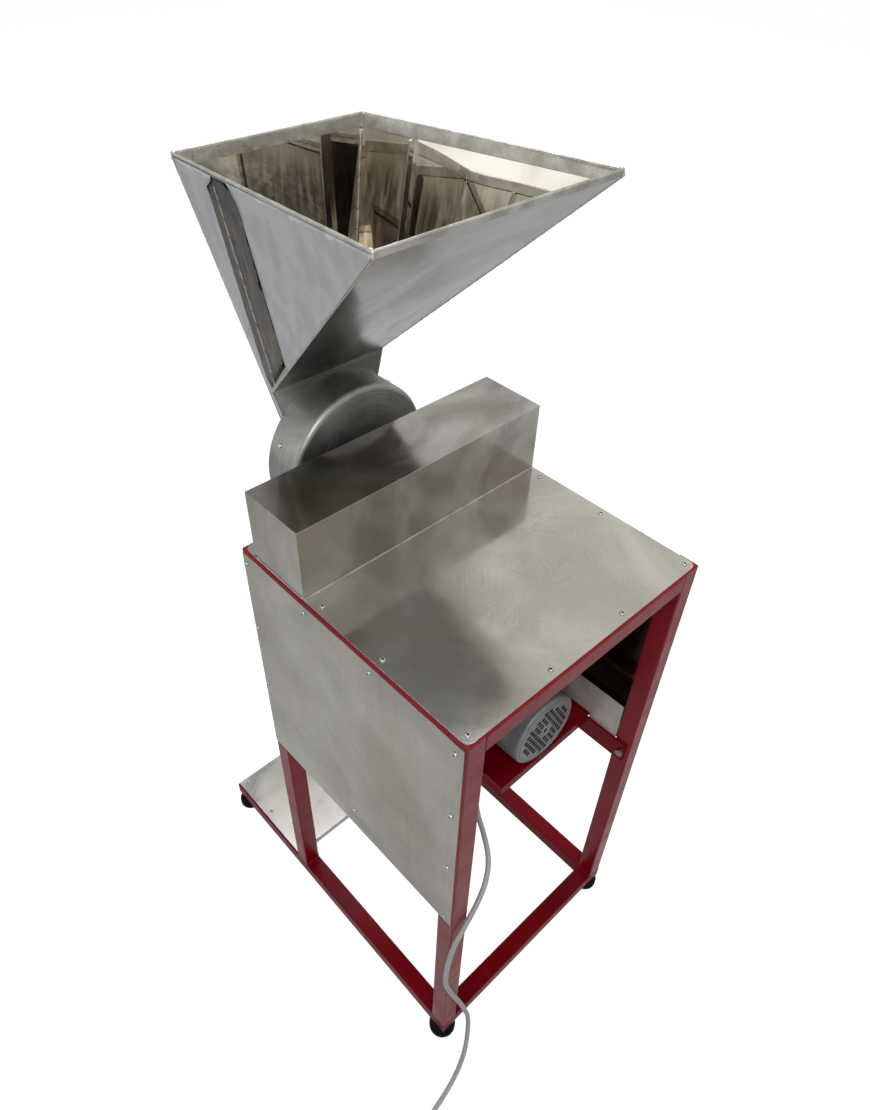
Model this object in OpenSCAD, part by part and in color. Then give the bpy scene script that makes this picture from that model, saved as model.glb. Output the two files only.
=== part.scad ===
// Sugar grinder: a belt-driven hammer mill on a four-legged tube frame.
// The motor sits under the top plate, the mill drum hangs on the front of the
// frame, and a sheet-metal hopper feeds it through its front cover.
// X runs across the frame, the hopper side is at -Y, the fan of the motor looks
// out of the open back at +Y, and Z is up from the floor.

/* [Frame] */
// Width of the frame across X
frame_w = 428; // [410:1:460]
// Depth of the frame between the front and back faces of the legs
frame_d = 424; // [410:1:450]
// Height of the frame top above the undersides of the base rails
frame_h = 853; // [800:1:950]
// How far the base reaches in front of the front legs
base_reach = 216; // [180:1:260]
// Outer size of the square tube
tube = 30; // [28:1:32]
// Corner radius of the square tube
tube_r = 2.5; // [1:0.5:4]

/* [Feet] */
// Height of a foot from the floor to the base rail
foot_h = 26; // [22:1:34]
// Radius of a foot at the floor
foot_r = 23; // [18:1:26]
// Radius of a foot at its top
foot_neck_r = 17; // [13:1:17]
// Distance of a foot's centre from the end of its rail
foot_inset = 17; // [15:1:30]
// Radius of the foot's stud
stud_r = 5; // [4:0.5:6]

/* [Sheets] */
// Thickness of the stainless sheets
sheet = 1.5; // [1:0.1:2]
// Strip of painted tube left free round the top plate
plate_inset = 3; // [2:0.5:6]
// Corner radius of the top plate
plate_corner_r = 10; // [6:1:14]
// Height of a side panel
panel_h = 420; // [380:1:440]
// Distance of the side panels below the top of the frame
panel_drop = 4; // [2:0.5:10]
// Distance of the side panels from the front and back faces of the legs
panel_inset = 3; // [1:0.5:6]
// Head radius of the sheet screws
screw_head_r = 3.6; // [3:0.1:4.2]
// Shank radius of the sheet screws
screw_r = 1.8; // [1.4:0.1:2]

/* [Belt cover] */
// Distance of the belt cover from the sides of the frame
cover_inset = 3.5; // [2:0.5:8]
// Depth of the belt cover
cover_d = 106; // [104:1:112]
// Height of the belt cover
cover_h = 107; // [100:1:130]
// Distance of the cover's front face from the front of the frame
cover_front = 27; // [24:1:32]
// Length of the belt slot in the top plate
slot_l = 108; // [104:1:120]
// Width of the belt slot in the top plate
slot_w = 28; // [26:1:30]

/* [Mill] */
// Sideways position of the mill axis
mill_x = 8; // [0:1:16]
// Height of the mill axis above the top plate
mill_rise = 42.5; // [40:0.5:46]
// Outer radius of the mill drum
drum_r = 114.5; // [112:0.5:118]
// Depth of the mill drum along Y
drum_depth = 58; // [56:0.5:64]
// Wall of the mill drum
drum_wall = 3; // [2:0.5:4]
// Radius of the drum's rounded back edge
drum_edge_r = 7.5; // [5:0.5:10]
// Thickness of the front cover plate of the drum
front_plate = 3; // [2:0.5:4]
// Radius of the mill shaft
shaft_r = 12.5; // [11:0.5:14]
// Radius of the rotor disc
rotor_r = 62; // [58:1:64]
// Thickness of the rotor disc
rotor_t = 8; // [6:1:10]
// Radius on which the hammer pins stand
pin_circle_r = 50; // [48:1:51]
// Radius of a hammer pin
pin_r = 4; // [3:0.5:5]
// Length of a hammer from its pin to its tip
hammer_l = 44; // [40:1:46]
// Width of a hammer
hammer_w = 20; // [16:1:24]
// Thickness of a hammer
hammer_t = 6; // [4:1:7]

/* [Drive] */
// Pitch radius of the mill pulley
mill_pulley_r = 30; // [26:1:31]
// Pitch radius of the motor pulley
motor_pulley_r = 52; // [44:1:54]
// Width of both pulleys
pulley_w = 22; // [20:1:23]
// Distance of the belt's middle plane from the front of the frame
belt_y = 80; // [78:1:82]
// Outer width of the belt section
belt_top_w = 12; // [10:0.5:13]
// Inner width of the belt section
belt_in_w = 8.5; // [7:0.5:9.5]
// Height of the belt section
belt_t = 7.5; // [6:0.5:8]

/* [Motor] */
// Sideways position of the motor axis
motor_x = -64; // [-70:1:-58]
// Height of the motor axis above its plate
motor_rise = 66; // [66:1:70]
// Outer radius of the motor body over its fins
motor_r = 62; // [58:1:63]
// Radius of the fan cover
fan_cover_r = 64.5; // [63:0.5:65]
// Gap between the motor pulley and the motor's end shield
motor_gap = 17; // [14:1:20]
// Length of the fan cover
fan_cover_l = 60; // [50:1:66]
// Length of the finned motor body
motor_body_l = 140; // [120:1:142]
// Length of the front end shield
shield_l = 28; // [20:1:30]
// Radius of the motor shaft
motor_shaft_r = 7; // [6:0.5:8]
// Height of the motor plate's top above the base rails' undersides
motor_level = 471.5; // [460:0.5:490]
// Thickness of the motor plate
motor_plate_t = 5; // [4:0.5:8]
// Depth of the motor plate's folded near edge
motor_plate_lip = 18; // [12:1:24]
// Width of the motor plate across X
motor_plate_w = 209; // [190:1:209]

/* [Hopper] */
// Half width of the hopper mouth at its front edge
mouth_front = 134; // [125:1:145]
// Half width of the hopper mouth at its back edge
mouth_back = 166; // [155:1:175]
// Depth of the hopper mouth along Y
mouth_depth = 383; // [370:1:400]
// How far the mouth reaches back over the drum's front cover
mouth_over = 303; // [290:1:320]
// Height of the mouth's front edge above the mill axis
mouth_rise = 397; // [380:1:430]
// How much higher the mouth's back edge stands
mouth_tilt = 17; // [10:1:25]
// Half width of the hopper at the crease above the drum
crease_half = 93; // [88:1:98]
// Height of the crease above the mill axis
crease_rise = 119; // [118:1:126]
// How far the front wall leans back over its full height
front_lean = 0.1215; // [0.1:0.005:0.14]
// How fast the front wall narrows over its height
front_taper = 0.204; // [0.18:0.002:0.22]
// Depth of the throat below the mill axis
throat_drop = 52; // [44:1:60]
// Half width of the throat's back wall at its bottom
throat_half = 48; // [46:1:56]
// Distance of the standing seam from the front edge of the mouth
seam_from_front = 95; // [88:1:110]
// Height of the seam's folded edge inside the hopper
seam_edge = 8; // [5:0.5:10]
// Height of the seam's bead outside the hopper
seam_bead = 1; // [0.5:0.1:2]
// Height of the folded hem inside the mouth
hem_h = 14; // [8:1:18]

/* [Feed gate] */
// Height of the feed gate above the mill axis
gate_rise = 101; // [98:1:106]
// Half width of the feed gate
gate_half = 48; // [40:1:52]
// Thickness of the feed gate
gate_t = 2; // [1.5:0.5:3]
// Travel of the feed gate
gate_travel = 34; // [26:1:36]

/* [Cord] */
// Radius of the mains cord
cord_r = 4; // [3.5:0.1:4]
// Loops in each layer of the cord's coil
coil_turns = 3; // [3]
// Radius of the coil's smallest loop
coil_r = 32; // [30:1:34]

/* [Hidden] */

$fn = 64;
eps = 0.01;

// Overall places, from the middle of the base on the floor
base_l = frame_d + base_reach;
back_y = base_l / 2;
legs_front_y = back_y - frame_d;
base_front_y = -base_l / 2;
side_x = frame_w / 2;
base_z = foot_h;
frame_top = base_z + frame_h;
plate_top = frame_top + sheet;
mill_z = plate_top + mill_rise;
drum_y = legs_front_y;
belt_mid_y = legs_front_y + belt_y;
motor_plate_top = base_z + motor_level;
motor_z = motor_plate_top + motor_rise;
shield_front_y = belt_mid_y + pulley_w / 2 + motor_gap;
body_front_y = shield_front_y + shield_l;
body_back_y = body_front_y + motor_body_l;
motor_face_y = body_back_y + fan_cover_l;

// Clearances
run_gap = 0.05;
free_gap = 0.4;
seat_gap = 0.2;

// Colours
red = "firebrick";
steel = "silver";
zinc = "lightgray";
dark = "dimgray";

// Turns a shape drawn along +Z so that it runs towards the front of the mill
module axial(x, y, z) {
    translate([x, y, z]) rotate([90, 0, 0]) children();
}

// Cross-section of the square tube, with its rounded corners
module tube_section() {
    inner = tube - 2 * tube_r;
    translate([tube_r, 0]) square([inner, tube]);
    translate([0, tube_r]) square([tube, inner]);
    for (x = [tube_r, tube - tube_r], y = [tube_r, tube - tube_r])
        translate([x, y]) circle(r = tube_r, $fn = 24);
}

// A length of tube along Z, from its lowest corner
module tube_z(p, l) {
    translate(p) linear_extrude(l) tube_section();
}

// A length of tube along X, from its lowest corner
module tube_x(p, l) {
    translate(p) rotate([90, 0, 90]) linear_extrude(l) tube_section();
}

// A length of tube along Y, from its lowest corner
module tube_y(p, l) {
    translate(p + [0, l, 0]) rotate([90, 0, 0]) linear_extrude(l) tube_section();
}

// Frame: four legs on the base rails, with the top rails between them
leg_l = frame_h - tube;
leg_z = base_z + tube;
in_w = frame_w - 2 * tube;
in_d = frame_d - 2 * tube;
top_rail_z = frame_top - tube;

module leg(left, back) {
    x = left ? side_x - tube : -side_x;
    y = back ? back_y - tube : legs_front_y;
    color(red) tube_z([x, y, leg_z], leg_l);
}

module leg_front_left() leg(true, false);
module leg_front_right() leg(false, false);
module leg_back_left() leg(true, true);
module leg_back_right() leg(false, true);

module top_rail_front() {
    color(red)
        difference() {
            tube_x([-in_w / 2, legs_front_y, top_rail_z], in_w);
            at_seat_bolts() translate([0, legs_front_y - 1, 0]) rotate([-90, 0, 0])
                cylinder(r = seat_bolt_r, h = seat_bolt_l + 1, $fn = 24);
        }
}

module top_rail_back() {
    color(red) tube_x([-in_w / 2, back_y - tube, top_rail_z], in_w);
}

module top_rail_left() {
    color(red) tube_y([side_x - tube, legs_front_y + tube, top_rail_z], in_d);
}

module top_rail_right() {
    color(red) tube_y([-side_x, legs_front_y + tube, top_rail_z], in_d);
}

module base_rail_front() {
    color(red) tube_x([-in_w / 2, base_front_y, base_z], in_w);
}

module base_rail_back() {
    color(red) tube_x([-in_w / 2, back_y - tube, base_z], in_w);
}

module base_rail_left() {
    color(red) tube_y([side_x - tube, base_front_y, base_z], base_l);
}

module base_rail_right() {
    color(red) tube_y([-side_x, base_front_y, base_z], base_l);
}

// Rails that carry the motor plate
rail_bar = 4;
rail_bar_h = 40;
rail_top = motor_plate_top - motor_plate_t;
rail_ends = 8;
cross_h = 30;
cross_t = 4;
cross_step = 150;
cross_l = frame_w - 2 * tube - rail_bar;
panel_rail_z = rail_top - tube + 8;

module panel_rail_left() {
    color(red) tube_y([side_x - tube, legs_front_y + tube, panel_rail_z], in_d);
}

module motor_rail_right() {
    l = frame_d - 2 * rail_ends;
    color(red)
        translate([-in_w / 2, legs_front_y + rail_ends, rail_top - rail_bar_h])
            cube([rail_bar, l, rail_bar_h]);
}

// One angle bar along X under the motor plate
module cross_bar(y) {
    translate([-in_w / 2 + rail_bar, y, rail_top - cross_h]) {
        cube([cross_l, cross_t, cross_h]);
        translate([0, 0, cross_h - cross_t]) cube([cross_l, cross_h, cross_t]);
    }
}

module motor_cross_bars() {
    color(red)
        for (s = [-1, 1])
            cross_bar(body_back_y - motor_body_l / 2 + s * cross_step / 2 - cross_h / 2);
}

// Feet
foot_body_h = foot_h - 4;
foot_disc_h = foot_body_h * 0.55;

module at_feet() {
    for (x = [-side_x + tube / 2, side_x - tube / 2])
        for (y = [base_front_y + foot_inset, back_y - foot_inset])
            translate([x, y, 0]) children();
}

module feet() {
    color([0.1, 0.1, 0.1])
        at_feet() difference() {
            rotate_extrude() polygon([
                [0, 0], [foot_r - 1.5, 0], [foot_r, 1.5], [foot_r, foot_disc_h],
                [foot_neck_r + 1, foot_body_h - 3], [foot_neck_r, foot_body_h],
                [0, foot_body_h]
            ]);
            translate([0, 0, 8]) cylinder(r = stud_r, h = foot_h);
        }
}

module foot_studs() {
    color(zinc)
        at_feet() {
            translate([0, 0, 8]) cylinder(r = stud_r, h = foot_h - 8);
            translate([0, 0, foot_body_h]) cylinder(r = stud_r * 1.9, h = foot_h - foot_body_h, $fn = 6);
        }
}

// Sheet work
deck_lip = 12;
deck_front_in = 0.5;
deck_back_in = 1;
screw_in = 12;
plate_w = frame_w - 2 * plate_inset;
plate_d = frame_d - 2 * plate_inset;
cover_w = frame_w - 2 * cover_inset;
cover_front_y = legs_front_y + cover_front;
cover_back_y = cover_front_y + cover_d;

// Deck in front of the front legs, with a lip folded down behind
module deck_plate() {
    w = frame_w - 2 * plate_inset;
    d = base_reach - deck_front_in - deck_back_in;
    z = base_z + tube;
    color(steel) {
        translate([-w / 2, base_front_y + deck_front_in, z]) cube([w, d, sheet]);
        translate([-in_w / 2 + free_gap, base_front_y + deck_front_in + d - sheet, z - deck_lip])
            cube([in_w - 2 * free_gap, sheet, deck_lip]);
    }
}

// Rounded rectangle from its lower left corner
module rounded_sheet(w, d, r) {
    translate([r, 0]) square([w - 2 * r, d]);
    translate([0, r]) square([w, d - 2 * r]);
    for (x = [r, w - r], y = [r, d - r]) translate([x, y]) circle(r = r, $fn = 32);
}

module belt_slot() {
    translate([mill_x - slot_l / 2, belt_mid_y - slot_w / 2]) square([slot_l, slot_w]);
}

module top_plate() {
    color(steel)
        translate([0, 0, frame_top]) linear_extrude(sheet) difference() {
            translate([-plate_w / 2, legs_front_y + plate_inset])
                rounded_sheet(plate_w, plate_d, plate_corner_r);
            belt_slot();
            at_top_screws() circle(r = screw_r, $fn = 16);
            at_bearing_bolts() circle(r = bearing_bolt_r, $fn = 24);
        }
}

// Five-sided cover over the pulley and the bearings, open below
module belt_cover() {
    hole_r = shaft_r + 4;
    color(steel)
        difference() {
            translate([-cover_w / 2, cover_front_y, plate_top]) cube([cover_w, cover_d, cover_h]);
            translate([-cover_w / 2 + sheet, cover_front_y + sheet, plate_top - 1])
                cube([cover_w - 2 * sheet, cover_d - 2 * sheet, cover_h - sheet + 1]);
            axial(mill_x, cover_front_y + sheet + 1, mill_z) cylinder(r = hole_r, h = sheet + 2);
        }
}

panel_w = frame_d - 2 * panel_inset;
panel_z = frame_top - panel_drop - panel_h;
panel_top_drop = 17;
panel_side_in = 10;
panel_low_in = 10;
panel_low_rise = 31;

// Screw places on a side panel, as distance from the back and height in the panel
panel_screw_rows = [panel_low_in, panel_h * 0.36, panel_h * 0.66, panel_h - panel_top_drop];
panel_screws = concat(
    [for (z = panel_screw_rows) [panel_side_in + 3, z]],
    [for (z = panel_screw_rows) [panel_w - panel_side_in + 4, z]],
    [[panel_w * 0.375, panel_h - panel_top_drop + 5], [panel_w * 0.68, panel_h - panel_top_drop + 5]],
    [[panel_w * 0.5, panel_low_rise + 10]]
);

// Puts children at each screw of a side panel, local Z pointing outwards
module at_panel_screws(side) {
    for (s = panel_screws)
        translate([side * (side_x + sheet), back_y - panel_inset - s[0], panel_z + s[1]])
            rotate([0, side * 90, 0]) children();
}

module side_panel(side) {
    x = side > 0 ? side_x : -side_x - sheet;
    color(steel)
        difference() {
            translate([x, legs_front_y + panel_inset, panel_z]) cube([sheet, panel_w, panel_h]);
            at_panel_screws(side) translate([0, 0, -sheet - 1]) cylinder(r = screw_r, h = sheet + 2, $fn = 16);
        }
}

module side_panel_left() side_panel(1);
module side_panel_right() side_panel(-1);

// Strip between the right legs, behind the motor rail, with a step in its lower edge
strip_h = 79;
strip_low = 1.5;
strip_step_h = 12;
strip_step_from = 55;
module guard_strip() {
    y = legs_front_y + tube + 1;
    color(steel)
        difference() {
            translate([-in_w / 2 - sheet, y, rail_top - strip_low]) cube([sheet, in_d - 2, strip_h]);
            translate([-in_w / 2 - sheet - 1, y - 1, rail_top - strip_low - 1])
                cube([sheet + 2, in_d - 1 - strip_step_from, strip_step_h + 1]);
        }
}

// Screws of the top plate, in plan
top_screw_x = [-1, -1 / 3, 1 / 3, 1] * (frame_w / 2 - screw_in - 2);
top_screw_step = [139, 253];
top_screw_y = [
    back_y - screw_in - 2,
    back_y - screw_in - 2 - top_screw_step[0],
    back_y - screw_in - 2 - top_screw_step[1]
];
module at_top_screws() {
    for (x = top_screw_x) translate([x, top_screw_y[0]]) children();
    for (i = [1, 2]) for (x = [top_screw_x[0], top_screw_x[3]]) translate([x, top_screw_y[i]]) children();
}

deck_screw_step = 88;
deck_screw_y = [base_front_y + screw_in + 2, base_front_y + screw_in + 2 + deck_screw_step];
module at_deck_screws() {
    for (x = [-side_x + tube / 2, side_x - tube / 2])
        for (y = deck_screw_y)
            translate([x, y, base_z + tube + sheet]) children();
}

// Pan-head screw whose head sits at local Z = 0
module pan_screw() {
    difference() {
        union() {
            cylinder(r1 = screw_head_r, r2 = screw_head_r * 0.62, h = 2.2, $fn = 24);
            translate([0, 0, -sheet]) cylinder(r = screw_r - 0.02, h = sheet + 0.5, $fn = 16);
        }
        for (a = [0, 90])
            rotate([0, 0, a]) translate([-1.6, -0.35, 1.2]) cube([3.2, 0.7, 2]);
    }
}

module sheet_screws() {
    color(zinc) {
        translate([0, 0, plate_top]) at_top_screws() pan_screw();
        for (side = [-1, 1]) at_panel_screws(side) pan_screw();
        at_deck_screws() translate([0, 0, 0]) pan_head();
    }
}

// Low head of a screw whose shank is out of sight
module pan_head() {
    cylinder(r1 = screw_head_r, r2 = screw_head_r * 0.62, h = 2.2, $fn = 24);
}

// Motor on its plate
plate_back_y = motor_face_y;
plate_front_y = shield_front_y - 10;
motor_plate_l = plate_back_y - plate_front_y;
motor_plate_x = -in_w / 2 + 0.5;
foot_w = 128;
motor_foot_t = 8;
motor_foot_l = 96;
motor_bolt_r = 3.5;
motor_bolt_x = 50;
motor_foot_y = body_back_y - motor_body_l / 2;
bolt_span = 70;

// Puts children at the bolts of the motor's feet, on the plate's top
module at_motor_bolts() {
    for (sx = [-1, 1], sy = [-1, 1])
        translate([motor_x + sx * motor_bolt_x, motor_foot_y + sy * bolt_span / 2, motor_plate_top]) children();
}

module motor_plate() {
    color(red)
        difference() {
            union() {
                translate([motor_plate_x, plate_back_y - motor_plate_l, motor_plate_top - motor_plate_t])
                    cube([motor_plate_w, motor_plate_l, motor_plate_t]);
                translate([motor_plate_x + rail_bar, plate_back_y - motor_plate_t, motor_plate_top - motor_plate_lip])
                    cube([motor_plate_w - rail_bar, motor_plate_t, motor_plate_lip]);
            }
            at_motor_bolts() translate([0, 0, -motor_plate_t - 1]) cylinder(r = motor_bolt_r, h = motor_plate_t + 2, $fn = 24);
        }
}

// Hexagon-head bolt standing on local Z = 0, its shank below
module hex_bolt(r, shank, head_h) {
    cylinder(r = r * 1.9, h = head_h, $fn = 6);
    translate([0, 0, -shank]) cylinder(r = r - run_gap, h = shank + 1, $fn = 24);
}

rail_bolt_z = rail_top - 20;
module motor_bolts() {
    color(zinc) {
        at_motor_bolts() {
            translate([0, 0, motor_foot_t]) hex_bolt(motor_bolt_r, motor_foot_t + motor_plate_t + 8, 5);
            translate([0, 0, -motor_plate_t - 6]) cylinder(r = motor_bolt_r * 1.9, h = 6, $fn = 6);
        }
        for (y = [legs_front_y + tube / 2, back_y - tube / 2])
            translate([-in_w / 2 + rail_bar, y, rail_bolt_z]) rotate([0, 90, 0])
                cylinder(r = 7, h = 5, $fn = 6);
    }
}

// Finned body with its feet; the bore holds the rotor
fin_n = 28;
fin_h = 7;
fin_t = 2.4;
bore_r = 34;
rim_l = 8;
module motor_body() {
    color(dark)
        difference() {
            union() {
                axial(motor_x, body_back_y, motor_z) {
                    cylinder(r = motor_r - fin_h, h = motor_body_l);
                    translate([0, 0, -rim_l]) cylinder(r = fan_cover_r - sheet - seat_gap, h = rim_l + 3);
                    translate([0, 0, motor_body_l - 6]) cylinder(r = motor_r - 2, h = 6);
                    for (i = [0 : fin_n - 1])
                        if (abs(cos(i * 360 / fin_n)) < 0.97 || sin(i * 360 / fin_n) > -0.1)
                            rotate([0, 0, i * 360 / fin_n])
                                translate([motor_r - fin_h - 2, -fin_t / 2, 8])
                                    cube([fin_h + 2, fin_t, motor_body_l - 16]);
                }
                translate([motor_x - foot_w / 2, motor_foot_y - motor_foot_l / 2, motor_plate_top])
                    cube([foot_w, motor_foot_l, motor_foot_t]);
                translate([motor_x - foot_w * 0.3, motor_foot_y - motor_foot_l / 2, motor_plate_top])
                    cube([foot_w * 0.6, motor_foot_l, motor_rise - motor_r * 0.5]);
            }
            axial(motor_x, body_back_y + rim_l + 1, motor_z) cylinder(r = bore_r, h = motor_body_l + rim_l + 2);
            at_motor_bolts() translate([0, 0, -1]) cylinder(r = motor_bolt_r, h = motor_foot_t + 2, $fn = 24);
        }
}

// Bearing cap in front of the body, round the shaft
module motor_end_shield() {
    color(dark)
        axial(motor_x, body_front_y, motor_z) difference() {
            union() {
                cylinder(r = motor_r - 2, h = shield_l * 0.45);
                translate([0, 0, shield_l * 0.45])
                    cylinder(r1 = motor_r - 8, r2 = motor_r * 0.5, h = shield_l * 0.35);
                cylinder(r = motor_r * 0.4, h = shield_l);
            }
            translate([0, 0, -1]) cylinder(r = motor_shaft_r + run_gap, h = shield_l + 2);
        }
}

// Fan cover: a pressed cap with a pierced grille in its face
grille_r = 47;
hole_pitch_x = 10.2;
hole_pitch_z = 9;
hole_r = 3.8;
cover_edge_r = 6;
grille_rows = 5;
grille_places = [
    for (j = [-grille_rows : grille_rows], i = [-grille_rows : grille_rows])
        let (x = (i + (j % 2 == 0 ? 0 : 0.5)) * hole_pitch_x, z = j * hole_pitch_z)
        if (norm([x, z]) < grille_r && (norm([x, z]) > hole_pitch_x * 1.1 || norm([x, z]) < 1)) [x, z]
];

// Rounded cup profile for rotate_extrude: closed end at 0, open end at the length
module cup_profile(r, l, edge) {
    square([r - edge, l]);
    translate([0, edge]) square([r, l - edge]);
    translate([r - edge, edge]) circle(r = edge, $fn = 32);
}

module fan_cover() {
    color("darkgray")
        axial(motor_x, motor_face_y, motor_z) difference() {
            rotate_extrude() cup_profile(fan_cover_r, fan_cover_l, cover_edge_r);
            translate([0, 0, sheet]) cylinder(r = fan_cover_r - sheet - 2, h = 8);
            translate([0, 0, 6]) cylinder(r = fan_cover_r - sheet, h = fan_cover_l);
            for (p = grille_places)
                translate([p[0], p[1], -1]) cylinder(r = hole_r, h = sheet + 2, $fn = 16);
        }
}

// Terminal box on the left of the motor, with the switch in its lid
box_w = 40;
box_l = 84;
box_h = 66;
box_wall = 3;
box_x = motor_x + motor_r - 4;
box_y = motor_foot_y - box_l / 2 - 24;
box_z = motor_z - 16;
lid_t = 5;
switch_w = 13;
switch_l = 19;
switch_x = box_x + box_w / 2;
switch_y = box_y + box_l / 2;
lid_top = box_z + box_h + lid_t;

module terminal_box() {
    color(dark)
        difference() {
            translate([box_x, box_y, box_z]) cube([box_w, box_l, box_h]);
            translate([box_x + box_wall, box_y + box_wall, box_z + box_wall])
                cube([box_w - 2 * box_wall, box_l - 2 * box_wall, box_h]);
            axial(box_x + box_w / 2, box_y + box_l + 1, box_z + gland_up) cylinder(r = gland_bore_r, h = box_wall + 2);
            axial(motor_x, body_back_y + 1, motor_z) cylinder(r = motor_r + 0.1, h = motor_body_l + 2);
        }
}

module terminal_lid() {
    color(dark)
        difference() {
            translate([box_x - 1, box_y - 1, box_z + box_h]) cube([box_w + 2, box_l + 2, lid_t]);
            translate([switch_x - switch_w / 2, switch_y - switch_l / 2, box_z + box_h - 1])
                cube([switch_w, switch_l, lid_t + 2]);
            translate([switch_x, switch_y, rocker_pin_z]) rotate([0, 90, 0])
                cylinder(r = rocker_pin_r + run_gap, h = switch_w + 2 * rocker_pin_in + 1, center = true, $fn = 24);
        }
}

// Rocker that tips about a short cross pin in the lid's window, shown switched off
rocker_r = 9;
rocker_tilt = 11;
rocker_pin_r = 1;
rocker_pin_in = 2.5;
rocker_pin_z = lid_top - lid_t / 2;
module switch_rocker() {
    w = switch_w - 2 * free_gap;
    color("black")
        translate([switch_x, switch_y, rocker_pin_z]) rotate([-rocker_tilt, 0, 0]) {
            translate([-w / 2, 0, 0]) rotate([90, 0, 90]) linear_extrude(w) intersection() {
                circle(r = rocker_r - 0.2, $fn = 48);
                polygon([[-8, 5.6], [0, 3.4], [8, 5.6], [8.7, -2], [4, -7], [-4, -7], [-8.7, -2]]);
            }
            rotate([0, 90, 0]) cylinder(r = rocker_pin_r, h = w + 2 * rocker_pin_in, center = true, $fn = 24);
        }
}

// Gland on the box's back face, where the cord comes out
gland_up = 26;
gland_bore_r = 7;
gland_l = 20;
gland_out_r = 10;
gland_z = box_z + gland_up;
gland_x = box_x + box_w / 2;
gland_y = box_y + box_l;
module cable_gland() {
    color([0.15, 0.15, 0.15])
        axial(gland_x, gland_y + gland_l, gland_z) difference() {
            union() {
                cylinder(r1 = gland_out_r - 2.5, r2 = gland_out_r, h = gland_l - 8);
                translate([0, 0, gland_l - 8]) cylinder(r = gland_out_r + 1.5, h = 8, $fn = 6);
                cylinder(r = gland_bore_r - run_gap, h = gland_l + box_wall);
            }
            translate([0, 0, -1]) cylinder(r = cord_r + 0.2, h = gland_l + box_wall + 2);
        }
}

// Rotor of the motor: shaft with its core, fan and pulley
fan_gap = 6;
pulley_hub = 4;
shaft_tip_y = belt_mid_y - pulley_w / 2 - 2;
module motor_shaft() {
    back = motor_face_y - sheet - fan_gap;
    core_l = motor_body_l - 30;
    color(zinc) {
        axial(motor_x, back, motor_z) cylinder(r = motor_shaft_r, h = back - shaft_tip_y);
        axial(motor_x, body_back_y - 15, motor_z) cylinder(r = bore_r - 1, h = core_l);
    }
}

fan_blades = 8;
module motor_fan() {
    r = fan_cover_r - 8;
    l = 24;
    color([0.2, 0.2, 0.22])
        axial(motor_x, motor_face_y - sheet - fan_gap - 3, motor_z) difference() {
            union() {
                cylinder(r = motor_shaft_r + 6, h = l);
                translate([0, 0, l - 3]) cylinder(r = r, h = 3);
                for (i = [0 : fan_blades - 1])
                    rotate([0, 0, i * 360 / fan_blades])
                        translate([motor_shaft_r + 3, -1.2, 0]) cube([r - motor_shaft_r - 4, 2.4, l - 2]);
            }
            translate([0, 0, -1]) cylinder(r = motor_shaft_r, h = l + 2);
        }
}

// Half width of the belt section at a height over its inner side
function belt_half(h) = (belt_in_w + (belt_top_w - belt_in_w) * h / belt_t) / 2;

// V-grooved pulley round a shaft, its middle plane at local Z = 0
groove_gap = 0.35;
module v_pulley(pitch_r, hole) {
    in_r = pitch_r - belt_t / 2;
    rim_r = pitch_r + belt_t / 2 + 1;
    root_r = in_r - 2;
    rim_half = belt_half(rim_r - in_r) + groove_gap;
    root_half = belt_half(root_r - in_r) + groove_gap;
    half = pulley_w / 2;
    rotate_extrude() difference() {
        translate([hole, -half]) square([rim_r - hole, pulley_w]);
        polygon([
            [root_r, -root_half], [rim_r + eps, -rim_half],
            [rim_r + eps, rim_half], [root_r, root_half]
        ]);
    }
}

module motor_pulley() {
    color(dark) axial(motor_x, belt_mid_y, motor_z) v_pulley(motor_pulley_r, motor_shaft_r);
}

module mill_pulley() {
    color(dark) axial(mill_x, belt_mid_y, mill_z) v_pulley(mill_pulley_r, shaft_r);
}

// Belt: two arcs round the pulleys and two straight runs between them
drive = [motor_x - mill_x, motor_z - mill_z];
drive_l = norm(drive);
drive_a = atan2(drive[1], drive[0]);
belt_open = acos((mill_pulley_r - motor_pulley_r) / drive_l);

// Belt section on a pulley at an angle: inner side first, running round
function belt_ring(at, pitch_r, a) = [
    for (c = [[-1, -belt_in_w], [1, -belt_top_w], [1, belt_top_w], [-1, belt_in_w]])
        let (r = pitch_r + c[0] * belt_t / 2)
        [at[0] + r * cos(a), at[1] + r * sin(a), c[1] / 2]
];
arc_steps = 24;
function belt_arc(at, pitch_r, from, to) = [
    for (i = [0 : arc_steps]) belt_ring(at, pitch_r, from + (to - from) * i / arc_steps)
];
belt_rings = concat(
    belt_arc([0, 0], mill_pulley_r, drive_a + belt_open, drive_a + 360 - belt_open),
    belt_arc(drive, motor_pulley_r, drive_a + 360 - belt_open, drive_a + 360 + belt_open)
);

// Closed loop round both pulleys, its sections joined one to the next
module v_belt() {
    m = len(belt_rings);
    color([0.12, 0.12, 0.12])
        axial(mill_x, belt_mid_y, mill_z) polyhedron(
            points = [for (r = belt_rings, p = r) p],
            faces = concat(
                [for (i = [0 : m - 1], k = [0 : 3])
                    [i * 4 + k, i * 4 + (k + 1) % 4, (i + 1) % m * 4 + k]],
                [for (i = [0 : m - 1], k = [0 : 3])
                    [i * 4 + (k + 1) % 4, (i + 1) % m * 4 + (k + 1) % 4, (i + 1) % m * 4 + k]]
            )
        );
}

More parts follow.
